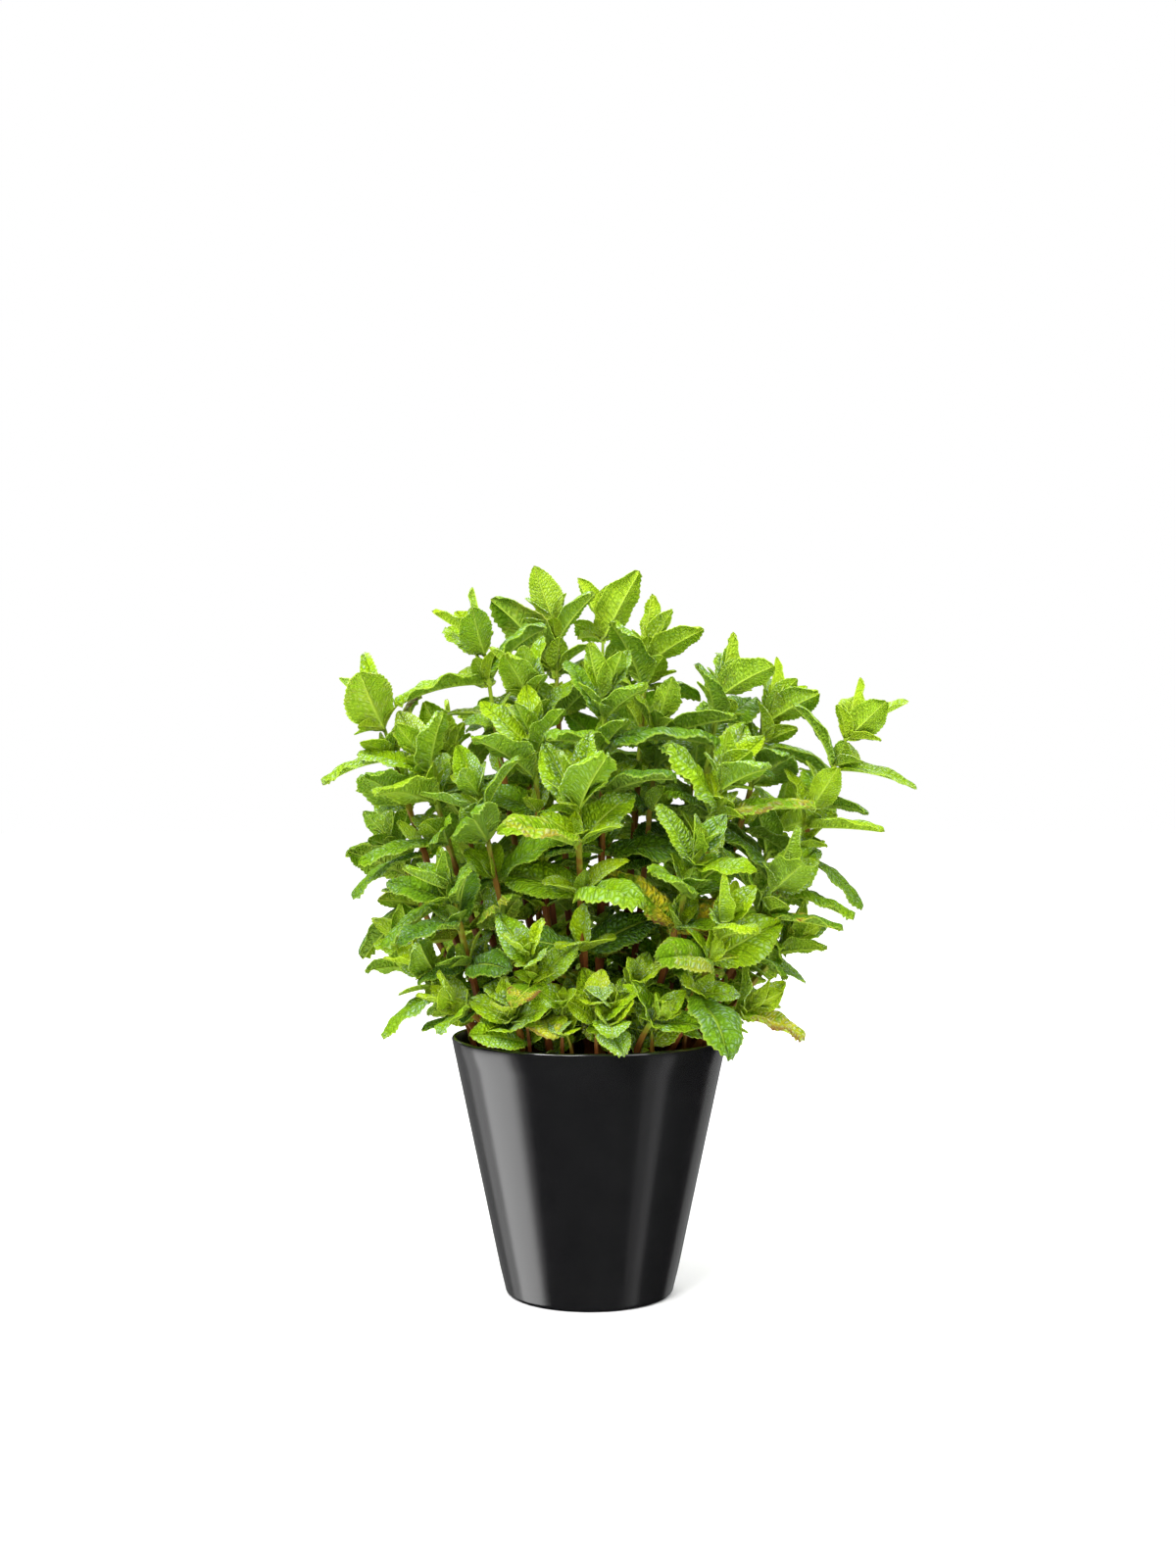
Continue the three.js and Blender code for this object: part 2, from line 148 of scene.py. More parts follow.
PLANS = (
    Plan((-16, 10), (-53, 12, 320), 5, 25, 1.0, 0.1),
    Plan((-6, 22), (-18, 36, 331), 5, 70, 1.08, 0.15),
    Plan((5, 14), (7, 46, 332), 5, 20, 1.0, 0.1),
    Plan((13, 24), (29, 30, 318), 5, 50, 0.98, 0.0),
    Plan((-9, -4), (-29, -6, 298), 5, 10, 0.98, 0.15),
    Plan((4, -8), (7, -20, 290), 5, 40, 1.12, 0.55),
    Plan((16, 2), (34, 4, 280), 5, 75, 1.0, 0.45),
    Plan((28, 10), (66, 10, 300), 5, 35, 0.96, 0.2),
    Plan((38, 20), (92, 26, 288), 5, 15, 1.0, 0.0),
    Plan((49, 8), (129, 6, 277), 5, 5, 1.02, 0.1),
    Plan((-42, 8), (-103, 0, 284), 6, 30, 1.06, 0.0),
    Plan((-32, -6), (-80, -12, 262), 5, 60, 0.96, 0.05),
    Plan((-24, -16), (-52, -32, 243), 5, 80, 0.96, 0.25),
    Plan((-14, -20), (-27, -20, 272), 5, 55, 0.94, 0.1),
    Plan((0, -33), (-6, -48, 246), 5, 42, 1.1, 0.1),
    Plan((27, -12), (64, -26, 254), 5, 20, 1.02, 0.1),
    Plan((21, -27), (49, -46, 216), 4, 65, 0.96, 0.45),
    Plan((34, -37), (61, -58, 185), 4, 30, 0.98, 0.1),
    Plan((-43, -31), (-64, -50, 200), 4, 48, 0.92, 0.75),
    Plan((46, -4), (108, -8, 236), 5, 70, 0.96, 0.1),
    Plan((40, -18), (90, -30, 205), 4, 10, 0.98, 0.5),
    Plan((48, -16), (97, -8, 172), 3, 40, 0.8, 0.3),
    Plan((-17, -43), (-27, -66, 170), 3, 15, 0.72, 0.1),
    Plan((-29, -44), (-36, -58, 142), 2, 60, 0.7, 0.1),
    Plan((5, -47), (8, -60, 138), 2, 30, 0.72, 0.1),
    Plan((20, -45), (31, -58, 141), 2, 75, 0.7, 0.3),
    Plan((11, -38), (21, -54, 156), 3, 5, 0.66, 0.3),
    Plan((46, -27), (76, -37, 143), 3, 80, 0.82, 0.1),
    Plan((-47, -16), (-78, -26, 162), 3, 20, 0.84, 0.0),
    Plan((-36, -38), (-62, -50, 146), 2, 5, 0.84, 0.1),
    Plan((-34, 20), (-72, 52, 272), 5, 15, 1.0, 0.1),
    Plan((-20, 34), (-34, 82, 286), 5, 60, 1.0, 0.05),
    Plan((4, 38), (14, 90, 280), 5, 35, 1.0, 0.4),
    Plan((26, 32), (58, 72, 270), 5, 80, 1.0, 0.1),
    Plan((44, 26), (100, 58, 232), 5, 45, 0.98, 0.1),
    Plan((-46, 24), (-102, 54, 220), 4, 70, 0.96, 0.5),
    Plan((-33, 40), (-64, 96, 206), 4, 25, 0.94, 0.1),
    Plan((-8, 48), (-12, 110, 200), 4, 10, 0.92, 0.1),
    Plan((18, 45), (44, 100, 190), 4, 55, 0.92, 0.5),
    Plan((35, 38), (80, 80, 172), 3, 20, 0.84, 0.1),
    Plan((-50, 8), (-90, 22, 168), 3, 50, 0.8, 0.1),
    Plan((-20, 46), (-32, 80, 150), 2, 40, 0.72, 0.1),
)


# The growth of the shoots


class Draws:
    """Random numbers from 0 to 1 that are the same on every run, and the same as the solids use."""

    FACTOR, STEP, RANGE, WARM_UP = 1664525, 1013904223, 4294967296, 5

    def __init__(self, seed: int) -> None:
        """Starts the draws from a seed."""
        self.state = seed
        self.skip(self.WARM_UP)

    def draw(self) -> float:
        """The next number from 0 to 1."""
        self.state = (self.state * self.FACTOR + self.STEP) % self.RANGE
        return self.state / self.RANGE

    def skip(self, count: int) -> None:
        """Passes over some numbers."""
        for _ in range(count):
            self.draw()

    def vary(self, amount: float) -> float:
        """The next number from -amount to amount."""
        return (self.draw() * 2 - 1) * amount

    def between(self, low: float, high: float) -> float:
        """The next number from low to high."""
        return low + (high - low) * self.draw()


def unit(vector: np.ndarray) -> np.ndarray:
    """The vector at length 1."""
    return vector / np.linalg.norm(vector)


def outward(turn: float, axis: np.ndarray) -> np.ndarray:
    """The direction square to an axis whose bearing about +Z is turn.

    Args:
        turn: degrees from +X.
        axis: a unit vector.

    Returns:
        A unit vector.
    """
    angle = math.radians(turn)
    bearing = np.array([math.cos(angle), math.sin(angle), 0.0])
    return unit(bearing - axis * float(bearing @ axis))


def outline(along: np.ndarray) -> np.ndarray:
    """Half the width of a blade's smooth outline, 1 at its widest, at shares of the leaf's length."""
    share = np.clip((along - PETIOLE) / (1 - PETIOLE), 0, 1)
    return np.sin(np.pi * share**BROADEST_LOW).clip(0) ** BLUNTNESS


def tree_of(places: np.ndarray) -> kdtree.KDTree:
    """Sorts points for finding the nearest one.

    Args:
        places: one point a row.

    Returns:
        The tree of points.
    """
    tree = kdtree.KDTree(len(places))
    for index, place in enumerate(places):
        tree.insert(place, index)
    tree.balance()
    return tree


def solid_corners(node: str) -> kdtree.KDTree:
    """Sorts the corners of a node's solid.

    Args:
        node: the node's name.

    Returns:
        The tree of its corners, in millimetres.
    """
    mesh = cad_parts[node].data
    places = np.empty(len(mesh.vertices) * 3, np.float32)
    mesh.vertices.foreach_get("co", places)
    return tree_of(places.reshape(-1, 3) / MM)


@dataclass(frozen=True)
class Leaf:
    """One leaf on its stem, in millimetres and degrees.

    age runs from 0 at the shoot's tip to 1 for a full grown leaf, curl arches each half of the blade, and wave
    ripples its edges, from a phase of its own. tint is the leaf's own shift of colour, and yellow its yellowing.
    """

    base: np.ndarray
    axis: np.ndarray
    turn: float
    length: float
    slender: float
    rise: float
    bend: float
    fold: float
    twist: float
    age: float
    curl: float = 0.0
    wave: float = 0.0
    phase: float = 0.0
    yellow: float = 0.0
    tint: float = 0.5

    def nudged(self, attempt: int) -> "Leaf":
        """Turns, raises and shrinks the leaf by one of the nudges that keep it clear of its neighbours.

        Args:
            attempt: the nudge's number.

        Returns:
            The nudged leaf.
        """
        turn, rise = NUDGES[attempt % len(NUDGES)]
        shrink = SHRINKS[attempt // len(NUDGES)]
        return replace(self, turn=self.turn + turn, rise=self.rise + rise, length=self.length * shrink)

    def surface(self, along: np.ndarray, aside: np.ndarray, lift: np.ndarray) -> np.ndarray:
        """Points of the folded, arched and twisted blade.

        Args:
            along: shares of the leaf's length.
            aside: distances across from the midrib, in millimetres.
            lift: heights over the blade's middle surface, in millimetres.

        Returns:
            One point a row, in millimetres.
        """
        out = outward(self.turn, self.axis)
        across = np.cross(self.axis, out)
        rise, bend, fold = (math.radians(value) for value in (self.rise, self.bend, self.fold))
        slope = rise - bend * along
        reach = self.length * (math.sin(rise) - np.sin(slope)) / bend
        climb = self.length * (np.cos(slope) - math.cos(rise)) / bend
        normal = np.outer(np.cos(slope), self.axis) - np.outer(np.sin(slope), out)
        roll = math.radians(self.twist) * along
        cos_roll, sin_roll = np.cos(roll)[:, None], np.sin(roll)[:, None]
        wide = across * cos_roll + normal * sin_roll
        high = normal * cos_roll - across * sin_roll
        height = np.abs(aside) * math.sin(fold) + lift
        return (
            self.base
            + np.outer(reach, out)
            + np.outer(climb, self.axis)
            + wide * (aside * math.cos(fold))[:, None]
            + high * height[:, None]
        )

    def tip(self) -> np.ndarray:
        """The point of the blade."""
        return self.surface(np.array([1.0]), np.zeros(1), np.zeros(1))[0]


@dataclass
class Shoot:
    """A stem and the leaves on it.

    leaves holds the full leaves that the solids have, and small_leaves the rest: the tuft at the tip, the young
    leaves in the axils and the small pairs low on the stem. joints are shares of the stem's way.
    """

    number: int
    plan: Plan
    leaves: list[Leaf] = field(default_factory=list)
    small_leaves: list[Leaf] = field(default_factory=list)
    joints: list[float] = field(default_factory=list)
    girth: float = 1.0  # the stem's thickness over that of a full shoot
    young: float = 0.12  # the age of the first pair
    ageing: float = 0.25  # and what each pair further down adds to it

    def __post_init__(self) -> None:
        """Lays the curve of the stem."""
        self.foot = np.array([*self.plan.root, SOIL_TOP + FOOT_RISE], float)
        self.top = np.array(self.plan.tip, float)
        tall = min(1.0, max(0.0, (self.top[2] - self.foot[2]) / TALL_SHOOT))
        out, up = (short + (long - short) * tall for short, long in (KNEE_OUT, KNEE_UP))
        self.knee = self.foot + (self.top - self.foot) * np.array([out, out, up])
        self.reach = float(np.linalg.norm(self.top - self.foot))

    @property
    def node(self) -> str:
        """The name of the shoot's node."""
        return f"leafy_stem_{self.number:02d}"

    def point(self, share: float) -> np.ndarray:
        """The stem's middle at a share of its way from foot to tip."""
        back = 1 - share
        return back * back * self.foot + 2 * back * share * self.knee + share * share * self.top

    def tangent(self, share: float) -> np.ndarray:
        """The stem's direction at a share of its way."""
        return unit((1 - share) * (self.knee - self.foot) + share * (self.top - self.knee))

    def radius(self, share: float) -> float:
        """The stem's corner radius.

        Args:
            share: the share of the stem's way.

        Returns:
            The radius in millimetres.
        """
        low = STEM_ROOT_RADIUS + (STEM_TIP_RADIUS - STEM_ROOT_RADIUS) * min(share, NECK)
        if share <= NECK:
            return low
        return low + (POINT_RADIUS - low) * (share - NECK) / (1 - NECK)

    def leaf_axis(self, share: float) -> np.ndarray:
        """The direction round which a joint's leaves spread: up, with the stem, and to the light outside.

        Args:
            share: the joint's share of the stem's way.

        Returns:
            A unit vector.
        """
        joint = self.point(share)
        outside = np.array([joint[0], joint[1], 0.0]) / CLUMP_RADIUS
        outside /= max(1.0, float(np.linalg.norm(outside)))
        return unit(self.tangent(share) + UP * FACE_UP + outside * FACE_OUT)

    def grow(self, solid: kdtree.KDTree) -> None:
        """Grows the full leaves, each where its solid is.

        Args:
            solid: the corners of this shoot's solid, in millimetres.
        """
        draws = Draws(SEED + self.number - 1)
        down = 0.0
        for rank, pair in enumerate(PAIRS[: self.plan.pairs]):
            down += pair.gap * self.plan.size * (1 + draws.vary(GAP_DRAW))
            share = 1 - down / self.reach
            joint, axis = self.point(share), self.leaf_axis(share)
            pair_turn = self.plan.turn + 90 * rank + draws.vary(PAIR_DRAW)
            both = [[draws.vary(amount) for amount in LEAF_DRAWS] for _ in range(2)]
            if joint[2] < SOIL_TOP + FIRST_LEAF_HEIGHT:
                break
            self.joints.append(share)
            for side, (length, turn, rise, bend, fold, twist) in enumerate(both):
                leaf = Leaf(
                    base=joint,
                    axis=axis,
                    turn=pair_turn + 180 * side + turn,
                    length=pair.length * self.plan.size * (1 + length),
                    slender=pair.slender,
                    rise=pair.rise + rise,
                    bend=pair.bend * (1 + bend),
                    fold=pair.fold + fold,
                    twist=twist,
                    age=min(1.0, self.young + self.ageing * rank),
                )
                self._seat(leaf, solid)

    def _seat(self, leaf: Leaf, solid: kdtree.KDTree) -> None:
        """Keeps a leaf in the place where its solid has its point, if it has one.

        Args:
            leaf: the leaf before any nudge.
            solid: the corners of this shoot's solid.
        """
        for attempt in range(len(NUDGES) * len(SHRINKS)):
            tried = leaf.nudged(attempt)
            if solid.find(tried.tip())[2] < MATCH_DISTANCE:
                self.leaves.append(tried)
                return


class Clearing:
    """The room that the full leaves leave, where small ones may grow."""

    ALONG = np.array([0.35, 0.6, 0.6, 0.6, 0.85, 1.0])
    ASIDE = np.array([0.0, -0.75, 0.0, 0.75, 0.0, 0.0])

    def __init__(self, shoots: Iterable[Shoot]) -> None:
        """Notes where the full leaves are."""
        leaves = [leaf for shoot in shoots for leaf in shoot.leaves]
        self.tree = tree_of(np.concatenate([self.samples(leaf) for leaf in leaves]))

    def samples(self, leaf: Leaf) -> np.ndarray:
        """A few points of a leaf's blade."""
        aside = self.ASIDE * leaf.length * leaf.slender / 2
        return leaf.surface(self.ALONG, aside, np.zeros(len(aside)))

    def takes(self, leaf: Leaf, room: float) -> bool:
        """Whether there is room for a small leaf.

        Args:
            leaf: the small leaf.
            room: the least distance of its outer half from the samples of every full leaf, in millimetres.

        Returns:
            Whether it has that room.
        """
        if np.linalg.norm(leaf.tip()[:2]) > FAR_OUT:
            return False
        return all(self.tree.find(point)[2] > room for point in self.samples(leaf)[1:])


# Modelling


def activate(thing: Thing) -> None:
    """Selects one object alone and makes it the active one.

    Args:
        thing: the object.
    """
    for other in bpy.context.selected_objects:
        other.select_set(False)
    thing.select_set(True)
    bpy.context.view_layer.objects.active = thing


class Editing:
    """An object in edit mode, with the selections and moves that a modeller makes there."""

    def __init__(self, thing: Thing) -> None:
        """Takes the object to work on."""
        self.thing = thing

    def __enter__(self) -> "Editing":
        """Enters edit mode with nothing selected.

        Returns:
            The object in edit mode.
        """
        activate(self.thing)
        bpy.ops.object.mode_set(mode="EDIT")
        bpy.ops.mesh.select_all(action="DESELECT")
        return self

    def __exit__(self, *_: object) -> None:
        """Goes back to object mode."""
        bpy.ops.object.mode_set(mode="OBJECT")

    def pick(self, wanted: Callable[[bmesh.types.BMVert | bmesh.types.BMEdge], bool], kind: str = "VERT") -> None:
        """Selects some vertices or edges, and nothing else.

        Args:
            wanted: whether to select one of them.
            kind: VERT or EDGE.
        """
        bpy.ops.mesh.select_mode(type=kind)
        mesh = bmesh.from_edit_mesh(self.thing.data)
        for part in mesh.verts if kind == "VERT" else mesh.edges:
            part.select_set(wanted(part))
        mesh.select_flush_mode()
        bmesh.update_edit_mesh(self.thing.data)

    def move(self, x: float = 0.0, z: float = 0.0) -> None:
        """Moves the selection."""
        bpy.ops.transform.translate(value=(x, 0.0, z))

    def size(self, x: float = 1.0, y: float = 1.0) -> None:
        """Scales the selection about the origin."""
        bpy.ops.transform.resize(value=(x, y, 1.0), center_override=(0, 0, 0))

    def raise_ring(self, growth: float, lift: float) -> None:
        """Extrudes the selected round face upwards and scales it."""
        bpy.ops.mesh.extrude_region_move(TRANSFORM_OT_translate={"value": (0, 0, lift)})
        self.size(growth, growth)


def turned(name: str, sides: int, points: list[tuple[float, float]]) -> Thing:
    """Turns a closed body about the Z axis.

    Args:
        name: the body's name.
        sides: how many sides it has.
        points: the radius and height of each ring in millimetres, from the edge of the base on.

    Returns:
        The body, its faces outwards.
    """
    radius, height = points[0]
    bpy.ops.mesh.primitive_circle_add(
        vertices=sides, radius=radius * MM, fill_type="NGON", location=(0, 0, height * MM)
    )
    thing = bpy.context.active_object
    thing.name = thing.data.name = name
    bpy.ops.object.transform_apply(location=True)
    with Editing(thing) as bench:
        bench.pick(lambda vert: True)
        for new_radius, new_height in points[1:]:
            bench.raise_ring(new_radius / radius, (new_height - height) * MM)
            radius, height = new_radius, new_height
        bpy.ops.mesh.select_all(action="SELECT")
        bpy.ops.mesh.normals_make_consistent(inside=False)
    return thing


def coordinates(thing: Thing) -> np.ndarray:
    """An object's vertices.

    Args:
        thing: the object.

    Returns:
        One vertex a row.
    """
    flat = np.empty(len(thing.data.vertices) * 3)
    thing.data.vertices.foreach_get("co", flat)
    return flat.reshape(-1, 3)


def new_object(name: str, data: bpy.types.ID) -> Thing:
    """Puts data in the scene.

    Args:
        name: the object's name.
        data: its mesh, lamp or lens.

    Returns:
        The object.
    """
    thing = bpy.data.objects.new(name, data)
    bpy.context.scene.collection.objects.link(thing)
    return thing


def copy_at(master: Thing, name: str, places: np.ndarray) -> Thing:
    """Copies a master with its mesh.

    Args:
        master: the finished object to copy.
        name: the copy's name.
        places: where its vertices go, in metres.

    Returns:
        The copy, in the scene.
    """
    copy = new_object(name, master.data.copy())
    copy.data.vertices.foreach_set("co", places.ravel())
    copy.data.update()
    return copy


def join(things: list[Thing], name: str) -> Thing:
    """Joins objects into one.

    Args:
        things: the objects.
        name: the name of the whole.

    Returns:
        The whole.
    """
    activate(things[0])
    for thing in things:
        thing.select_set(True)
    if len(things) > 1:
        bpy.ops.object.join()
    whole = bpy.context.view_layer.objects.active
    whole.name = whole.data.name = name
    return whole


def hand_over(thing: Thing, nodes: list[str], material: bpy.types.Material, crease: float) -> None:
    """Finishes a piece and says what it stands for.

    Args:
        thing: the piece.
        nodes: the nodes that it stands for, if any.
        material: its finish.
        crease: the angle in degrees from which an edge stays sharp.
    """
    activate(thing)
    bpy.ops.object.shade_smooth_by_angle(angle=math.radians(crease))
    thing.data.materials.clear()
    thing.data.materials.append(material)
    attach(thing, BODY)
    if nodes:
        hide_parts(*nodes)
    log.info("%s: %d faces", thing.name, len(thing.data.polygons))


class Row(NamedTuple):
    """A row of a leaf's pattern: its vein number, its place on the midrib and the edge, half width and quilting."""

    vein: float
    middle: float
    edge: float
    half: float
    quilt: float = 0.0


@dataclass(frozen=True)
class Blade:
    """The pattern of a leaf: flat along +X, one long, with its teeth, veins and the quilting between them.

    Each side vein runs out along a row of the pattern to the point of a tooth, and the row after it to the notch.
    """

    name: str
    shortest: float  # leaves shorter than this, in millimetres, take the next pattern
    teeth: int
    columns: int
    thickness: float
    quilt: float
    notch: float = 0.1
    tooth: float = 0.045
    skew: float = 0.17
    stalk: float = 0.06
    first_tooth: float = 0.15
    last_tooth: float = 0.95
    notch_place: float = 0.35  # how far past a tooth its notch is, as a share of the way to the next
    last_notch: float = 0.975
    last_vein: float = 0.985
    sweep: float = 1.15
    groove: float = 0.004
    keel: float = 0.007
    arch: float = 4.0  # four times how high the middle of each half arches, for a curl of 1
    droop: float = 0.6  # and how far its edge drops
    ripples: float = 18.0
    ripple_offset: float = 1.4

    def rows(self) -> list[Row]:
        """The rows of the pattern, from the stalk to the point.

        Returns:
            The rows.
        """
        rows = [Row(0.0, -0.02, -0.02, self.stalk), Row(0.1, 0.03, 0.03, self.stalk)]
        rows += [Row(0.2, PETIOLE, PETIOLE, self.stalk), Row(0.5, 0.085, 0.105, self.wide(0.105), 0.3)]
        step = (self.last_tooth - self.first_tooth) / (self.teeth - 1)
        for tooth in range(self.teeth):
            point = self.first_tooth + step * tooth
            notch = min(self.last_notch, point + self.notch_place * step)
            vein = self.middle(point)
            after = self.middle(point + step) if tooth + 1 < self.teeth else self.last_vein
            half = max(LEAST_HALF, self.wide(notch) - self.notch)
            rows.append(Row(tooth + 1.0, vein, point, self.wide(point) + self.tooth, float(tooth % 2 == 0)))
            rows.append(Row(tooth + 1.5, (vein + after) / 2, notch, half, 0.7))
        rows.append(Row(self.teeth + 1.0, 1.0, 1.0, 0.02))
        return rows

    @staticmethod
    def wide(along: float) -> float:
        """The smooth outline's half width at a share of the length."""
        return float(outline(np.array([along]))[0])

    def middle(self, edge: float) -> float:
        """Where on the midrib a side vein starts that ends at this share of the edge."""
        return edge - self.skew * math.sin(math.pi * edge**0.9) ** 0.8

    def model(self) -> Thing:
        """Models the pattern.

        Returns:
            A closed, thin blade with a UV map of vein number and place across.
        """
        rows, columns = self.rows(), self.columns
        last = len(rows) - 1
        bpy.ops.mesh.primitive_grid_add(x_subdivisions=last, y_subdivisions=columns * 2, size=2)
        thing = bpy.context.active_object
        thing.name = self.name
        start = coordinates(thing)
        row_of = np.rint((start[:, 0] + 1) / 2 * last).astype(int)
        column_of = np.rint(start[:, 1] * columns).astype(int)
        layer = thing.data.uv_layers[0]
        layer.name = VEINS
        for loop in thing.data.loops:
            vert = loop.vertex_index
            layer.uv[loop.index].vector = (rows[row_of[vert]].vein, column_of[vert] / columns)
        with Editing(thing) as bench:
            for number, row in enumerate(rows):
                bench.pick(lambda vert, n=number: row_of[vert.index] == n)
                bench.size(y=row.half * MASTER_SLENDER / 2)
                for column in range(columns + 1):
                    place = (number, column)
                    bench.pick(lambda vert, p=place: (row_of[vert.index], abs(column_of[vert.index])) == p)
                    share = column / columns
                    along = row.middle + (row.edge - row.middle) * share**self.sweep
                    height = self.quilt * row.quilt * (4 * share * (1 - share)) ** 0.5
                    if column == 0 and number > 2:
                        height = -self.groove
                    bench.move(x=along - (-1 + 2 * number / last), z=height)
        shell = thing.modifiers.new("thickness", "SOLIDIFY")
        shell.thickness = self.thickness
        shell.offset = -1
        bpy.ops.object.modifier_apply(modifier=shell.name)
        count = len(row_of)
        with Editing(thing) as bench:
            bench.pick(lambda vert: vert.index >= count and column_of[vert.index - count] == 0)
            bench.move(z=-self.keel)
            bench.pick(lambda vert: row_of[vert.index % count] == last)
            bpy.ops.mesh.merge(type="CENTER")
        self._mark_underside(thing)
        return thing

    @staticmethod
    def _mark_underside(thing: Thing) -> None:
        """Shifts the UV map of the faces that look down.

        Args:
            thing: the pattern.
        """
        layer = thing.data.uv_layers[VEINS]
        for face in thing.data.polygons:
            if face.normal.z < LOOKS_DOWN:
                for index in face.loop_indices:
                    u, v = layer.uv[index].vector
                    layer.uv[index].vector = (u, v + UNDERSIDE)

    def place(self, pattern: np.ndarray, leaf: Leaf) -> np.ndarray:
        """Lays the pattern's points on a leaf.

        Args:
            pattern: the master's vertices.
            leaf: the leaf to lay them on.

        Returns:
            The points in metres.
        """
        along, aside, lift = pattern.T
        half = MASTER_SLENDER / 2 * np.maximum(outline(along), LEAST_HALF)
        share = np.clip(np.abs(aside) / half, 0, 1)
        arch = self.arch * leaf.curl * share * (1 - share) - self.droop * leaf.curl * share**3
        phase = self.ripples * along + leaf.phase + np.sign(aside) * self.ripple_offset
        ripple = leaf.wave * share**2 * np.sin(phase)
        wide = aside * leaf.length * leaf.slender / MASTER_SLENDER
        return leaf.surface(along, wide, (lift + arch + ripple) * leaf.length) * MM


@dataclass(frozen=True)
class Stem:
    """The pattern of a stem: square with rounded corners, one radius to a corner, one high, closed at both ends."""

    name: str = "stem_pattern"
    sides: int = 16
    rings: int = 56
    radii: tuple[float, ...] = (0.96, 0.83, 0.74, 0.83)  # of a corner, and on to the next
    swelling: float = 0.24  # at a joint
    swelling_reach: float = 2.4

    def model(self) -> Thing:
        """Models the pattern.

        Returns:
            The stem with a UV map of the way round and the way up.
        """
        bpy.ops.mesh.primitive_cylinder_add(vertices=self.sides, radius=1, depth=1, location=(0, 0, 0.5))
        thing = bpy.context.active_object
        thing.name = self.name
        bpy.ops.object.transform_apply(location=True)
        with Editing(thing) as bench:
            bench.pick(lambda edge: abs(edge.verts[0].co.z - edge.verts[1].co.z) > 0.5, "EDGE")
            bpy.ops.mesh.subdivide(number_cuts=self.rings - 1)
            for step, radius in enumerate(self.radii):
                bench.pick(lambda vert, s=step: self._side(vert.co) % len(self.radii) == s)
                bench.size(radius, radius)
        layer = thing.data.uv_layers[0]
        layer.name = VEINS
        for face in thing.data.polygons:
            places = [thing.data.vertices[vert].co for vert in face.vertices]
            sides = [self._side(place) for place in places]
            if 0 in sides and self.sides - 1 in sides:
                sides = [side or self.sides for side in sides]
            for index, side, place in zip(face.loop_indices, sides, places):
                layer.uv[index].vector = (side / self.sides, place.z)
        return thing

    def _side(self, place: Vector) -> int:
        """Which of the sides' corners a place is at, counted round from +X."""
        return round(math.atan2(place.y, place.x) / math.tau * self.sides) % self.sides

    def place(self, pattern: np.ndarray, shoot: Shoot) -> np.ndarray:
        """Lays the pattern's points on a shoot's curve.

        Args:
            pattern: the master's vertices.
            shoot: the shoot whose stem it becomes.

        Returns:
            The points in metres.
        """
        buried = FOOT_DEPTH + FOOT_RISE
        whole = shoot.reach + buried
        places = np.empty_like(pattern)
        for height in np.unique(pattern[:, 2].round(6)):
            ring = np.abs(pattern[:, 2] - height) < 1e-5
            way = height * whole - buried
            share = max(0.0, way / shoot.reach)
            centre = shoot.point(share) + UP * min(0.0, way)
            tangent = shoot.tangent(share) if way > 0 else UP
            first = outward(shoot.plan.turn + 45, tangent)
            second = np.cross(tangent, first)
            away = [(share - joint) * shoot.reach / self.swelling_reach for joint in shoot.joints]
            swell = min(1.0, sum(math.exp(-(distance**2)) for distance in away))
            radius = shoot.radius(share) * shoot.girth * (1 + self.swelling * swell)
            x, y, _ = pattern[ring].T
            places[ring] = centre + radius * (np.outer(x, first) + np.outer(y, second))
        return places * MM


# The plant


@dataclass(frozen=True)
class Form:
    """The form of a kind of small leaf, in degrees, and its age.

    change is what rise, bend and age gain with each pair.
    """

    rise: float
    bend: float
    fold: float
    age: float
    slender: float = 0.62
    change: Triple = (0, 0, 0)

    def at(self, rank: int) -> "Form":
        """The form of the pair of a rank."""
        rise, bend, age = (amount * rank for amount in self.change)
        return replace(self, rise=self.rise + rise, bend=self.bend + bend, age=self.age + age)


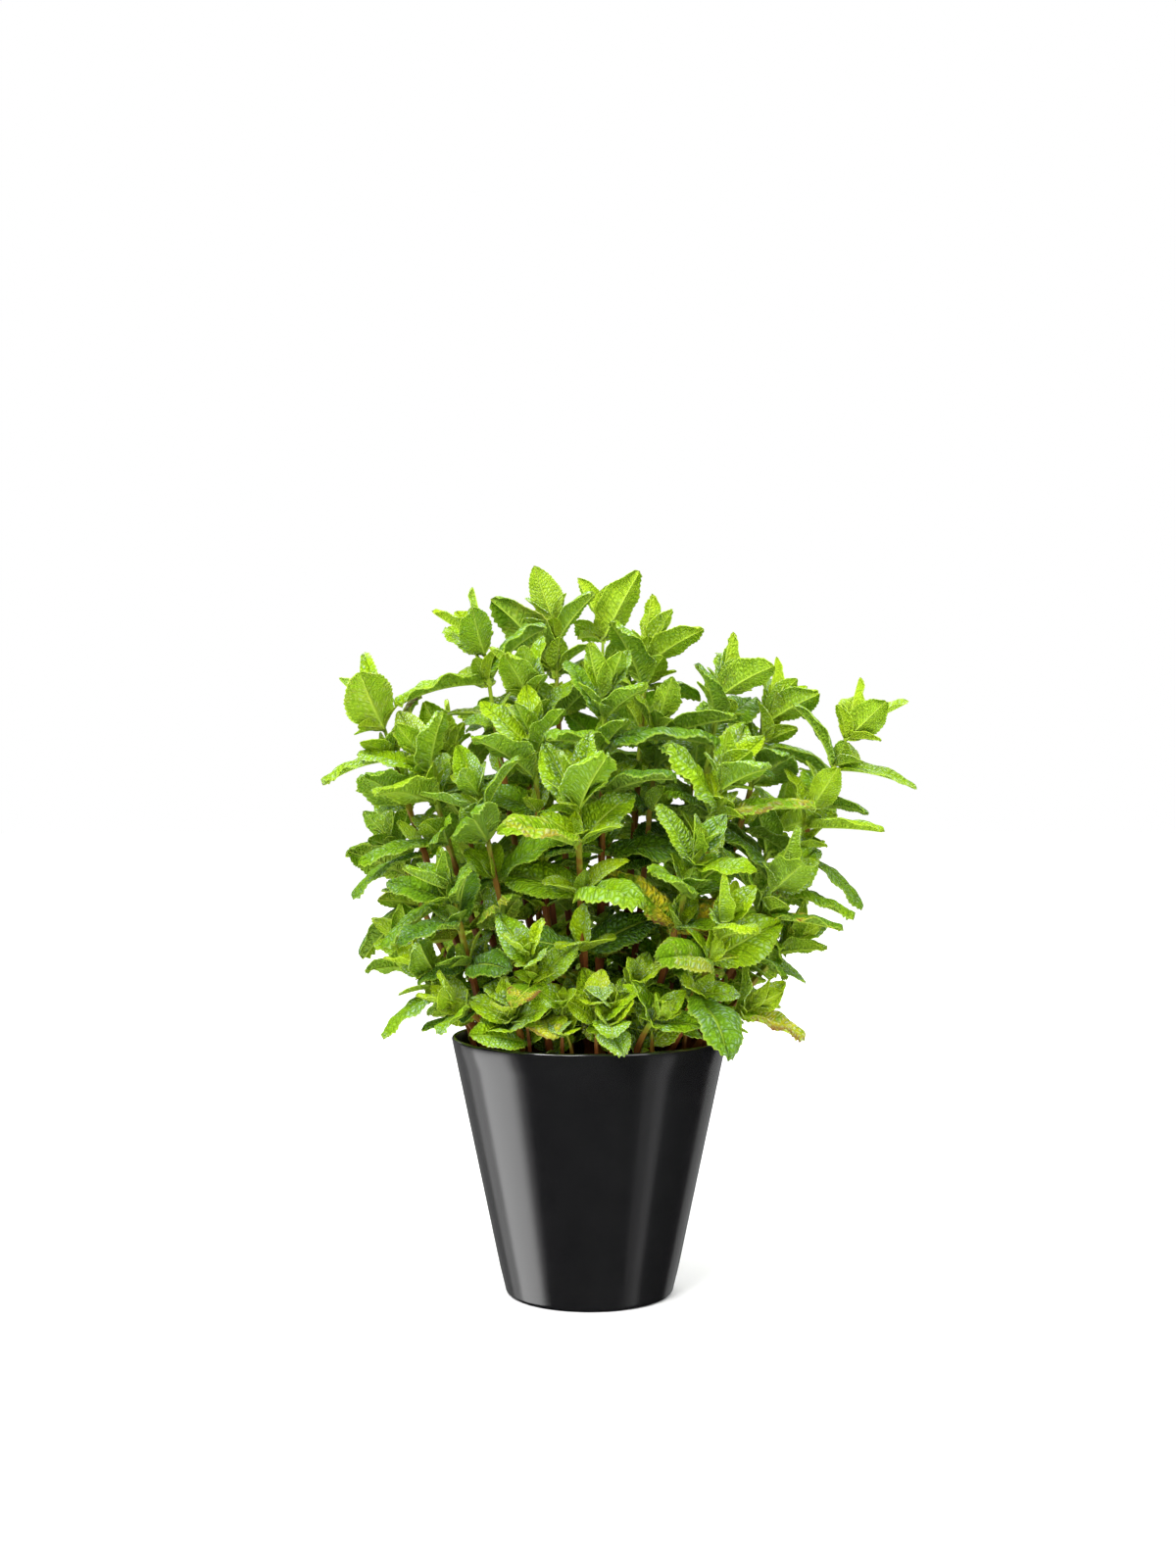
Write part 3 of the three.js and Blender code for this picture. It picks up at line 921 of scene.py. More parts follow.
@dataclass
class Plant:
    """The leafy stems and the sprouts: full leaves where the solids have them, and small ones between them.

    Lengths are in millimetres and turns in degrees. What is drawn is a middle and how far it may vary from it.
    """

    curl: tuple[float, float] = (0.045, 0.03)
    wave: tuple[float, float] = (0.022, 0.014)
    low_light: float = 190.0  # below this height more leaves have yellowed
    sound: tuple[float, float] = (0.78, 0.9)  # the share of leaves that haven't, below it and above
    yellowing: float = 7.0
    small_draws: tuple[float, ...] = (12, 0.25, 10, 0.4, 6, 24)  # of turn, length, rise, bend, fold and twist
    small_curl: float = 0.6  # the curl and the ripple of a small leaf over a full one's
    small_wave: float = 0.4
    rim_room: float = 6.0  # how far small leaves stay inside the pot's rim until they are above it
    over_rim: float = 2.0  # how far over the rim they count as above it
    soil_room: float = 1.0  # how far they stay over the soil
    tuft_lengths: tuple[float, ...] = (19, 13.5, 9)
    tuft: Form = Form(50, 6, 22, 0.02, 0.64, (9, -7, 0))
    axil_length: float = 12.0
    axil_growth: float = 3.6  # how much longer the axil leaves are at each joint further down
    axil_lift: float = 1.5
    axil_gaps: tuple[float, ...] = (0.0, 0.0, 0.2, 0.4, 0.7, 0.8)  # the share missing at each joint
    axil_leaves: tuple[tuple[float, float, Form], ...] = (  # turn from the full leaf, share of the length, form
        (-65, 1.0, Form(50, 26, 20, 0.16)),
        (65, 1.0, Form(50, 26, 20, 0.16)),
        (0, 0.7, Form(72, -14, 28, 0.05)),
    )
    low_gap: float = 18.0
    low_gap_draw: float = 0.2
    low_end: tuple[float, float] = (7.0, 0.02)  # the lowest pair's height over the soil and share of the stem
    low_length: tuple[float, float] = (15, 24)
    low_turn_draw: float = 25
    low_room: float = 3.0
    low: Form = Form(34, 34, 12, 0.2, 0.8)
    low_ageing: float = 0.45
    bud: Form = Form(56, 16, 22, 0.08)
    bud_turn: float = 60
    bud_length: float = 0.5
    sprouts: int = 40
    edge_sprouts: int = 22  # how many of them stand along the edge of the pot
    sprout_height: tuple[float, float] = (15, 50)
    sprout_lean: float = 0.42
    edge_height: tuple[float, float] = (16, 34)
    edge_lean: float = 1.1
    sprout_reach: float = 56.0  # how far from the pot's middle sprouts stand
    sprout_room: float = 5.0
    sprout_sway: float = 4.0
    sprout_size: float = 0.62
    sprout_shade: float = 0.1
    sprout_girth: float = 0.5
    sprout_leaf: Form = Form(52, 16, 12, 0.14, 0.78, (-9, 6, 0.16))
    sprout_lengths: Triple = (17.0, 3.5, 24.0)  # of the first pair, what each adds, and of the last
    sprout_gaps: tuple[float, float] = (8.5, 1.5)
    sprout_end: float = 0.12

    def grow(self) -> list[Shoot]:
        """Grows every shoot.

        Returns:
            The shoots, with all their leaves.
        """
        shoots = [Shoot(number, plan) for number, plan in enumerate(PLANS, start=1)]
        for shoot in shoots:
            shoot.grow(solid_corners(shoot.node))
        clearing = Clearing(shoots)
        for shoot in shoots:
            draws = Draws(SHOOT_SEED + shoot.number)
            shoot.leaves = [self._individual(leaf, draws) for leaf in shoot.leaves]
            self._add_axils(shoot, draws)
            self._add_tuft(shoot, draws)
            self._add_low_pairs(shoot, draws, clearing)
            self._keep_clear(shoot)
        return shoots

    def _individual(self, leaf: Leaf, draws: Draws) -> Leaf:
        """Gives a leaf its own curl, ripple and tint.

        Args:
            leaf: the leaf.
            draws: the draws.

        Returns:
            The leaf with them.
        """
        sound = self.sound[0] if leaf.base[2] < self.low_light else self.sound[1]
        return replace(
            leaf,
            curl=self.curl[0] + draws.vary(self.curl[1]),
            wave=self.wave[0] + draws.vary(self.wave[1]),
            phase=draws.draw() * math.tau,
            tint=draws.draw(),
            yellow=max(0.0, draws.draw() - sound) * self.yellowing * leaf.age,
        )

    def _small(self, shoot: Shoot, share: float, draws: Draws, turn: float, length: float, form: Form) -> Leaf:
        """A small leaf on a stem.

        Args:
            shoot: the shoot that it is on.
            share: its share of the stem's way.
            draws: the draws.
            turn: about which turn it stands.
            length: about how long it is.
            form: about what form it has.

        Returns:
            The leaf.
        """
        turned, longer, raised, bent, folded, twist = (draws.vary(amount) for amount in self.small_draws)
        leaf = Leaf(
            base=shoot.point(share),
            axis=shoot.leaf_axis(share),
            turn=turn + turned,
            length=length * (1 + longer),
            slender=form.slender,
            rise=form.rise + raised,
            bend=form.bend * (1 + bent),
            fold=form.fold + folded,
            twist=twist,
            age=form.age,
        )
        leaf = self._individual(leaf, draws)
        return replace(leaf, curl=self.small_curl * leaf.curl, wave=self.small_wave * leaf.wave)

    def _add_pair(self, shoot: Shoot, share: float, draws: Draws, rank: int, length: float, form: Form) -> None:
        """Adds a pair of small leaves, a quarter turn from the pair of the rank before.

        Args:
            shoot: the shoot that they are on.
            share: their share of the stem's way.
            draws: the draws.
            rank: the pair's rank.
            length: about how long they are.
            form: about what form they have.
        """
        for side in range(2):
            turn = shoot.plan.turn + 90 * rank + 180 * side
            shoot.small_leaves.append(self._small(shoot, share, draws, turn, length, form))

    def _clears_pot(self, leaf: Leaf) -> bool:
        """Whether a small leaf stays inside the rim, or above it.

        Args:
            leaf: the leaf.

        Returns:
            Whether it does.
        """
        half = leaf.length * leaf.slender / 2
        along, aside = np.repeat([0.3, 0.6, 0.85, 1.0], 3), np.tile([-half, 0.0, half], 4)
        points = leaf.surface(along, aside, np.zeros(len(along)))
        reach = np.hypot(points[:, 0], points[:, 1])
        inside = (reach < POT_RIM_RADIUS - self.rim_room) & (points[:, 2] > SOIL_TOP + self.soil_room)
        return bool(np.all(inside | (points[:, 2] > POT_HEIGHT + self.over_rim)))

    def _keep_clear(self, shoot: Shoot) -> None:
        """Takes away a shoot's small leaves that would reach into the pot or the soil."""
        shoot.small_leaves = [leaf for leaf in shoot.small_leaves if self._clears_pot(leaf)]

    def _add_tuft(self, shoot: Shoot, draws: Draws) -> None:
        """Adds the young pairs at the very tip, each inside the last."""
        for rank, length in enumerate(self.tuft_lengths, start=1):
            self._add_pair(shoot, 1.0, draws, rank, length * shoot.plan.size, self.tuft.at(rank))

    def _add_axils(self, shoot: Shoot, draws: Draws) -> None:
        """Adds the young side shoot that stands where each full leaf joins the stem.

        Args:
            shoot: the shoot.
            draws: the draws.
        """
        for leaf in shoot.leaves:
            share = min(shoot.joints, key=lambda joint: float(np.linalg.norm(shoot.point(joint) - leaf.base)))
            rank = shoot.joints.index(share)
            if rank == 0:
                continue
            above = share + self.axil_lift / shoot.reach
            length = (self.axil_length + self.axil_growth * rank) * shoot.plan.size
            for turn, part, form in self.axil_leaves:
                small = self._small(shoot, above, draws, leaf.turn + turn, length * part, form)
                if draws.draw() > self.axil_gaps[rank]:
                    shoot.small_leaves.append(small)

    def _add_low_pairs(self, shoot: Shoot, draws: Draws, clearing: Clearing) -> None:
        """Adds small pairs down the bare foot of the stem, where the full leaves leave room for them.

        Args:
            shoot: the shoot.
            draws: the draws.
            clearing: the room that is left.
        """
        rank = len(shoot.joints)
        share = shoot.joints[-1] - self.low_gap / shoot.reach
        lowest, least_share = self.low_end
        while shoot.point(share)[2] > SOIL_TOP + lowest and share > least_share:
            for side in range(2):
                length = draws.between(*self.low_length)
                turn = shoot.plan.turn + 90 * rank + 180 * side + draws.vary(self.low_turn_draw)
                form = replace(self.low, age=self.low.age + self.low_ageing * draws.draw())
                leaf = self._small(shoot, share, draws, turn, length, form)
                if clearing.takes(leaf, self.low_room):
                    shoot.small_leaves.append(leaf)
                bud = self._small(shoot, share, draws, turn + self.bud_turn, self.bud_length * length, self.bud)
                shoot.small_leaves.append(bud)
            shoot.joints.append(share)
            rank += 1
            share -= self.low_gap * (1 + draws.vary(self.low_gap_draw)) / shoot.reach

    def grow_sprouts(self) -> list[Shoot]:
        """Grows the young sprouts that come up from the soil between the stems.

        Returns:
            The sprouts, whose leaves are all small.
        """
        draws = Draws(SPROUT_SEED)
        roots = [plan.root for plan in PLANS]
        sprouts = []
        while len(sprouts) < self.sprouts:
            at_edge = len(sprouts) < self.edge_sprouts
            reach = self.sprout_reach * (1.0 if at_edge else math.sqrt(draws.draw()))
            bearing = draws.draw() * math.tau
            root = (reach * math.cos(bearing), reach * math.sin(bearing))
            if min(math.dist(root, other) for other in roots) < self.sprout_room:
                continue
            roots.append(root)
            low, high = self.edge_height if at_edge else self.sprout_height
            height = draws.between(low, high)
            lean = self.edge_lean if at_edge else 1 + self.sprout_lean * height / high
            x, y = (place * lean + draws.vary(self.sprout_sway) for place in root)
            turn = draws.draw() * 180
            plan = Plan(root, (x, y, SOIL_TOP + height), 0, turn, self.sprout_size, self.sprout_shade)
            sprout = Shoot(len(PLANS) + len(sprouts) + 1, plan, girth=self.sprout_girth)
            self._leaf_sprout(sprout, draws)
            self._keep_clear(sprout)
            sprouts.append(sprout)
        return sprouts

    def _leaf_sprout(self, sprout: Shoot, draws: Draws) -> None:
        """Gives a sprout its tuft and its pairs.

        Args:
            sprout: the sprout.
            draws: the draws.
        """
        self._add_tuft(sprout, draws)
        length, growth, longest = self.sprout_lengths
        share, rank = 1.0, 0
        while share > self.sprout_end:
            self._add_pair(sprout, share, draws, rank, length, self.sprout_leaf.at(rank))
            sprout.joints.append(share)
            rank += 1
            length = min(longest, length + growth)
            share -= (self.sprout_gaps[0] + self.sprout_gaps[1] * rank) / sprout.reach

    def build(self, leaf_finish: bpy.types.Material, stem_finish: bpy.types.Material) -> None:
        """Builds the stems and leaves.

        Args:
            leaf_finish: the material of the leaves.
            stem_finish: the material of the stems.
        """
        foliage = Foliage(leaf_finish, stem_finish)
        for shoot in self.grow():
            foliage.dress([shoot], f"{shoot.number:02d}", [shoot.node])
        foliage.dress(self.grow_sprouts(), "sprouts", [])
        foliage.clear_away()


class Foliage:
    """Turns shoots into pieces, from one pattern for each size of leaf and one for the stems."""

    BLADES = (
        Blade("leaf_pattern", 27, 13, 3, thickness=0.010, quilt=0.008, notch=0.032, tooth=0.024),
        Blade("young_leaf_pattern", 13, 7, 2, thickness=0.016, quilt=0.006, notch=0.035, tooth=0.028),
        Blade("bud_leaf_pattern", 0, 4, 1, thickness=0.03, quilt=0.0),
    )
    STEM = Stem()
    CREASE = 50
    AGE_SHARE, SHADE_SHARE = 0.75, 0.6  # what a leaf's age and its shoot's shade add to the age that is seen

    def __init__(self, leaf_finish: bpy.types.Material, stem_finish: bpy.types.Material) -> None:
        """Models the patterns.

        Args:
            leaf_finish: the material of the leaves.
            stem_finish: the material of the stems.
        """
        self.leaf_finish, self.stem_finish = leaf_finish, stem_finish
        self.masters = [blade.model() for blade in self.BLADES]
        self.patterns = [coordinates(master) for master in self.masters]
        self.stem_master = self.STEM.model()
        self.stem_pattern = coordinates(self.stem_master)

    def _leaf(self, leaf: Leaf, shade: float) -> Thing:
        """Makes one leaf, from the pattern for its size.

        Args:
            leaf: the leaf.
            shade: its shoot's shade.

        Returns:
            The leaf's object.
        """
        kind = next(index for index, blade in enumerate(self.BLADES) if leaf.length >= blade.shortest)
        places = self.BLADES[kind].place(self.patterns[kind], leaf)
        copy = copy_at(self.masters[kind], "leaf", places)
        age = min(1.0, self.AGE_SHARE * leaf.age + self.SHADE_SHARE * shade)
        tones = copy.data.attributes.new(TONE, "FLOAT_COLOR", "POINT")
        tones.data.foreach_set("color", np.tile([age, leaf.tint, leaf.yellow, 1.0], len(places)))
        return copy

    def dress(self, shoots: list[Shoot], tag: str, nodes: list[str]) -> None:
        """Makes one piece of the leaves of some shoots and one of their stems.

        Args:
            shoots: the shoots.
            tag: what the pieces' names end in.
            nodes: the nodes that the pieces stand for.
        """
        pairs = [(leaf, shoot.plan.shade) for shoot in shoots for leaf in shoot.leaves + shoot.small_leaves]
        leaves = join([self._leaf(leaf, shade) for leaf, shade in pairs], f"leaves_{tag}")
        hand_over(leaves, nodes, self.leaf_finish, self.CREASE)
        places = [self.STEM.place(self.stem_pattern, shoot) for shoot in shoots]
        stems = join([copy_at(self.stem_master, "stem", place) for place in places], f"stem_{tag}")
        hand_over(stems, nodes, self.stem_finish, self.CREASE)

    def clear_away(self) -> None:
        """Removes the patterns."""
        for master in (*self.masters, self.stem_master):
            bpy.data.objects.remove(master)


@dataclass
class Pot:
    """The pot: a turned shell with a thin rounded rim and a rounded lower edge. Sizes in millimetres."""

    sides: int = 160
    wall_rings: int = 12
    edge: float = 2.6
    edge_steps: int = 6
    edge_inset: float = 0.93
    lip_steps: int = 6
    floor_edge: float = 2.0
    crease: float = 35  # edges of more degrees than this stay sharp

    @staticmethod
    def radius(height: float) -> float:
        """The outside radius at a height."""
        return POT_BASE_RADIUS + (POT_RIM_RADIUS - POT_BASE_RADIUS) * height / POT_HEIGHT

    def profile(self) -> list[tuple[float, float]]:
        """The outline from the edge of the base, up the outside, over the lip and down to the floor.

        Returns:
            Radius and height of each ring.
        """
        lip = POT_WALL / 2
        top = POT_HEIGHT - lip
        inner = self.radius(0) - self.edge * self.edge_inset
        points = []
        for step in range(self.edge_steps + 1):
            angle = math.radians(90 * step / self.edge_steps)
            points.append((inner + self.edge * math.sin(angle), self.edge * (1 - math.cos(angle))))
        for ring in range(1, self.wall_rings + 1):
            height = self.edge + (top - self.edge) * ring / self.wall_rings
            points.append((self.radius(height), height))
        for step in range(1, self.lip_steps):
            angle = math.pi * step / self.lip_steps
            points.append((self.radius(top) - lip + lip * math.cos(angle), top + lip * math.sin(angle)))
        low = POT_FLOOR + self.floor_edge
        floor = (self.radius(POT_FLOOR) - POT_WALL - self.floor_edge, POT_FLOOR)
        return [*points, (self.radius(top) - POT_WALL, top), (self.radius(low) - POT_WALL, low), floor]

    def build(self, finish: bpy.types.Material) -> None:
        """Builds the pot in its finish."""
        hand_over(turned("pot_shell", self.sides, self.profile()), ["pot"], finish, self.crease)


@dataclass
class Soil:
    """The soil in the pot: an uneven bed with crumbs on it. Sizes in millimetres."""

    sides: int = 72
    rings: int = 16
    low: float = POT_FLOOR + 0.3
    low_gap: float = 1.2  # between the soil and the pot's wall
    high_gap: float = 0.5
    unevenness: tuple[float, float] = (0.9, 0.35)  # of the bed's broad swells and of its fine ones
    crumbs: int = 420
    crumb_size: tuple[float, float] = (0.8, 2.4)
    crumb_edge: float = 3.0  # how far crumbs stay from the bed's edge
    crumb_form: float = 0.35
    crumb_knobs: float = 0.25
    crumb_lift: float = 0.25
    crease: float = 60  # edges of more degrees than this stay sharp
    crumb_crease: float = 25

    def level(self, x: float, y: float) -> float:
        """The height of the bed.

        Args:
            x: the place's x.
            y: and its y.

        Returns:
            The height.
        """
        short = math.sin(x * 0.31 + 1.3) * math.cos(y * 0.27)
        long = math.sin(x * 0.13 - y * 0.19)
        fine = math.sin(x * 1.1 + 2 * math.sin(y * 0.9)) * math.cos(y * 1.3)
        return SOIL_TOP + self.unevenness[0] * (short + 0.5 * long) + self.unevenness[1] * fine

    def build(self, finish: bpy.types.Material) -> None:
        """Builds the bed and its crumbs.

        Args:
            finish: the material of both.
        """
        narrow = Pot.radius(self.low) - POT_WALL - self.low_gap
        wide = Pot.radius(SOIL_TOP) - POT_WALL - self.high_gap
        rings = [(wide * ring / self.rings, SOIL_TOP) for ring in range(self.rings, 0, -1)]
        bed = turned("soil_bed", self.sides, [(narrow, self.low), *rings])
        for vert in bed.data.vertices:
            if vert.co.z > (SOIL_TOP - 1) * MM:
                vert.co.z = self.level(vert.co.x / MM, vert.co.y / MM) * MM
        hand_over(bed, ["soil"], finish, self.crease)
        hand_over(self._crumble(wide), ["soil"], finish, self.crumb_crease)

    def _crumble(self, wide: float) -> Thing:
        """Scatters crumbs over the bed.

        Args:
            wide: the bed's radius.

        Returns:
            The crumbs.
        """
        bpy.ops.mesh.primitive_ico_sphere_add(subdivisions=1, radius=1)
        master = bpy.context.active_object
        pattern = coordinates(master)
        draws = Draws(CRUMB_SEED)
        copies = []
        for _ in range(self.crumbs):
            reach, bearing = (wide - self.crumb_edge) * math.sqrt(draws.draw()), draws.draw() * math.tau
            x, y = reach * math.cos(bearing), reach * math.sin(bearing)
            low, high = self.crumb_size
            size = low + (high - low) * draws.draw() ** 2
            form = np.array([size * (1 + draws.vary(self.crumb_form)) for _ in range(3)])
            knobs = 1 + np.array([draws.vary(self.crumb_knobs) for _ in pattern])
            place = np.array([x, y, self.level(x, y) + size * self.crumb_lift])
            copies.append(copy_at(master, "crumb", (pattern * knobs[:, None] * form + place) * MM))
            draws.skip(2)  # each crumb has two more numbers than it uses
        crumbs = join(copies, "soil_crumbs")
        bpy.data.objects.remove(master)
        return crumbs


# Finishes

Colour = Triple
Stops = tuple[tuple[float, Colour], ...]


class Value:
    """What a node puts out, as a number, colour or vector. The usual signs wire Math nodes to it."""

    def __init__(self, wiring: "Wiring", socket: bpy.types.NodeSocket) -> None:
        """Takes the output and the wiring that it is in."""
        self.wiring, self.socket = wiring, socket

    def __add__(self, other: "Value | float") -> "Value":
        """The sum."""
        return self.wiring.math("ADD", self, other)

    def __sub__(self, other: "Value | float") -> "Value":
        """The difference."""
        return self.wiring.math("SUBTRACT", self, other)

    def __rsub__(self, other: float) -> "Value":
        """A number less this."""
        return self.wiring.math("SUBTRACT", other, self)

    def __mul__(self, other: "Value | float") -> "Value":
        """The product."""
        return self.wiring.math("MULTIPLY", self, other)

    def __gt__(self, other: float) -> "Value":
        """1 where this is more than a number, and 0 elsewhere."""
        return self.wiring.math("GREATER_THAN", self, other)

    def __abs__(self) -> "Value":
        """The distance from 0."""
        return self.wiring.math("ABSOLUTE", self)

    def clamped(self) -> "Value":
        """This, held between 0 and 1."""
        self.socket.node.use_clamp = True
        return self

    def parts(self) -> tuple["Value", ...]:
        """All that the node of this puts out."""
        return tuple(Value(self.wiring, socket) for socket in self.socket.node.outputs)

    def spread(self, low: float, high: float, start: float = 0.0, end: float = 1.0) -> "Value":
        """Eases from one number to another.

        Args:
            low: where this leaves start.
            high: where it reaches end.
            start: the first number.
            end: the other.

        Returns:
            The eased number.
        """
        limits = {"Value": self, "From Min": low, "From Max": high, "To Min": start, "To Max": end}
        return self.wiring.node("ShaderNodeMapRange", limits, interpolation_type="SMOOTHSTEP")


class Effect(Enum):
    """The effects that finishes place as node groups."""

    MOTTLE = "mottle"
    RELIEF = "vein_relief"


class Wiring:
    """A node tree with short calls for the nodes that the finishes are made of."""

    def __init__(self, tree: bpy.types.NodeTree) -> None:
        """Takes the tree to add to."""
        self.tree = tree

    def feed(self, socket: bpy.types.NodeSocket, value: object) -> None:
        """Joins a socket to a value, or sets it.

        Args:
            socket: the input.
            value: a Value, or a number, colour or vector.
        """
        if isinstance(value, Value):
            self.tree.links.new(value.socket, socket)
        elif socket.type == "RGBA":
            socket.default_value = (*value, 1.0)
        else:
            socket.default_value = value

    def node(self, kind: str, inputs: dict | None = None, output: str | int = 0, **settings: object) -> Value:
        """Adds a node.

        Args:
            kind: its type.
            inputs: what feeds its inputs, by name or number.
            output: the output that is wanted.
            settings: its properties.

        Returns:
            The output.
        """
        node = self.tree.nodes.new(kind)
        for name, value in settings.items():
            setattr(node, name, value)
        for key, value in (inputs or {}).items():
            self.feed(node.inputs[key], value)
        return Value(self, node.outputs[output])

    def math(self, operation: str, *values: Value | float) -> Value:
        """The result of a Math node."""
        return self.node("ShaderNodeMath", dict(enumerate(values)), operation=operation)

    def mix(self, share: Value, first: Value | Colour, second: Value | Colour) -> Value:
        """Two colours mixed."""
        return self.node("ShaderNodeMix", {0: share, 6: first, 7: second}, 2, data_type="RGBA")

    def ramp(self, value: Value, stops: Stops) -> Value:
        """A colour for a value.

        Args:
            value: the value.
            stops: the colours that it has at some of its numbers.

        Returns:
            The colour.
        """
        result = self.node("ShaderNodeValToRGB", {0: value})
        elements = result.socket.node.color_ramp.elements
        while len(elements) < len(stops):
            elements.new(0.5)
        for element, (position, colour) in zip(elements, stops):
            element.position = position
            element.color = (*colour, 1.0)
        return result

    def noise(self, place: Value, scale: Value | float, detail: float, distortion: float = 0.0) -> Value:
        """Soft noise from 0 to 1."""
        inputs = {"Vector": place, "Scale": scale, "Detail": detail, "Distortion": distortion}
        return self.node("ShaderNodeTexNoise", inputs)

    def place(self) -> Value:
        """The Object coordinates."""
        return self.node("ShaderNodeTexCoord", output="Object")

    def chart(self) -> Value:
        """The piece's own UV map."""
        return self.node("ShaderNodeUVMap", uv_map=VEINS)

    def effect(self, effect: Effect, **inputs: object) -> tuple[Value, ...]:
        """Places a shared effect, with values of its own."""
        return self.node("ShaderNodeGroup", inputs, node_tree=bpy.data.node_groups[effect.value]).parts()

    def paint(self, name: str, value: object) -> None:
        """Feeds an input of the material's shader."""
        self.feed(self.tree.nodes["Principled BSDF"].inputs[name], value)

    def bump(self, height: Value, strength: float, distance: float) -> None:
        """Raises the surface by a height."""
        inputs = {"Height": height, "Strength": strength, "Distance": distance}
        self.paint("Normal", self.node("ShaderNodeBump", inputs))


def build_effect(effect: Effect, inputs: dict[str, str], outputs: list[str], wire: Callable) -> None:
    """Builds the node group of an effect.

    Args:
        effect: the effect.
        inputs: the kinds of its inputs by name.
        outputs: the names of its outputs, all of them numbers.
        wire: makes the outputs from the wiring and the inputs.
    """
    tree = bpy.data.node_groups.new(effect.value, "ShaderNodeTree")
    for name, kind in inputs.items():
        tree.interface.new_socket(name=name, in_out="INPUT", socket_type=f"NodeSocket{kind}")
    for name in outputs:
        tree.interface.new_socket(name=name, in_out="OUTPUT", socket_type="NodeSocketFloat")
    wiring = Wiring(tree)
    given = wiring.node("NodeGroupInput").parts()[: len(inputs)]
    result = tree.nodes.new("NodeGroupOutput")
    for socket, value in zip(result.inputs, wire(wiring, *given)):
        wiring.feed(socket, value)


def mottle(wiring: Wiring, place: Value, scale: Value, depth: Value) -> tuple[Value, Value]:
    """The mottling of every finish: broad patches with finer ones in them.

    Args:
        wiring: the group's wiring.
        place: the coordinates.
        scale: the scale of the broad patches.
        depth: how strong they are.

    Returns:
        Both sizes of patches together, and the fine ones alone.
    """
    broad = wiring.noise(place, scale, 3.0, 0.4)
    fine = wiring.noise(place, scale * 6.0, 2.0)
    both = broad * 0.7 + fine * 0.3
    return ((both - 0.5) * (depth * 2.0) + 0.5).clamped(), fine


def relief(wiring: Wiring, vein: Value, across: Value, net: Value) -> tuple[Value, ...]:
    """The relief of a leaf: sunken veins, and raised pillows in the net between them, with painted shade in the
    grooves.

    Args:
        wiring: the group's wiring.
        vein: the vein number, which is whole on a side vein.
        across: the way from the midrib to the edge.
        net: the place in the net of fine veins.

    Returns:
        The height, and masks of the painted shade in the grooves, of the glinting tops where the painted highlights
        and the gloss go, and of the midrib.
    """
    away = abs(wiring.math("FRACT", vein * 0.5 + 0.5) - 0.5)
    side = away.spread(0.015, 0.07, 0.9, 0.0) * across.spread(0.8, 1.0, 1.0, 0.0) * vein.spread(0.5, 0.9)
    midrib = across.spread(0.02, 0.10, 1.0, 0.0)
    veins = wiring.math("MAXIMUM", side, midrib)
    between = 1.0 - veins
    inputs = {"Vector": net, "Scale": 1.0, "Randomness": 0.85}
    edge = wiring.node(
        "ShaderNodeTexVoronoi", inputs, "Distance", feature="DISTANCE_TO_EDGE", voronoi_dimensions="2D"
    )
    height = edge.spread(0.0, 0.5) * between * 0.8 - veins * 0.4
    # painted shade: the side veins and the edges of the net's cells, darkened in the colour where the grooves are
    painted_groove_shade = wiring.math("MAXIMUM", side, edge.spread(0.0, 0.16, 1.0, 0.0)) * (1.0 - midrib)
    return height, painted_groove_shade, edge.spread(0.02, 0.4) * between, midrib


def new_material(name: str) -> tuple[bpy.types.Material, Wiring]:
    """Makes a material with a plain shader.

    Args:
        name: its name.

    Returns:
        The material and its wiring.
    """
    material = bpy.data.materials.new(name)
    material.use_nodes = True
    return material, Wiring(material.node_tree)


@dataclass(frozen=True)
class Finish:
    """What every finish has: a name, a roughness and a specular level that hold all over it."""

    name: str
    roughness: float = 0.5
    specular: float = 0.5

    def build(self) -> bpy.types.Material:
        """Builds the material.

        Returns:
            The material.
        """
        material, wiring = new_material(self.name)
        wiring.paint("Roughness", self.roughness)
        wiring.paint("Specular IOR Level", self.specular)
        self.dress(wiring)
        return material

    def dress(self, wiring: Wiring) -> None:
        """Adds what the finish has of its own."""
        raise NotImplementedError


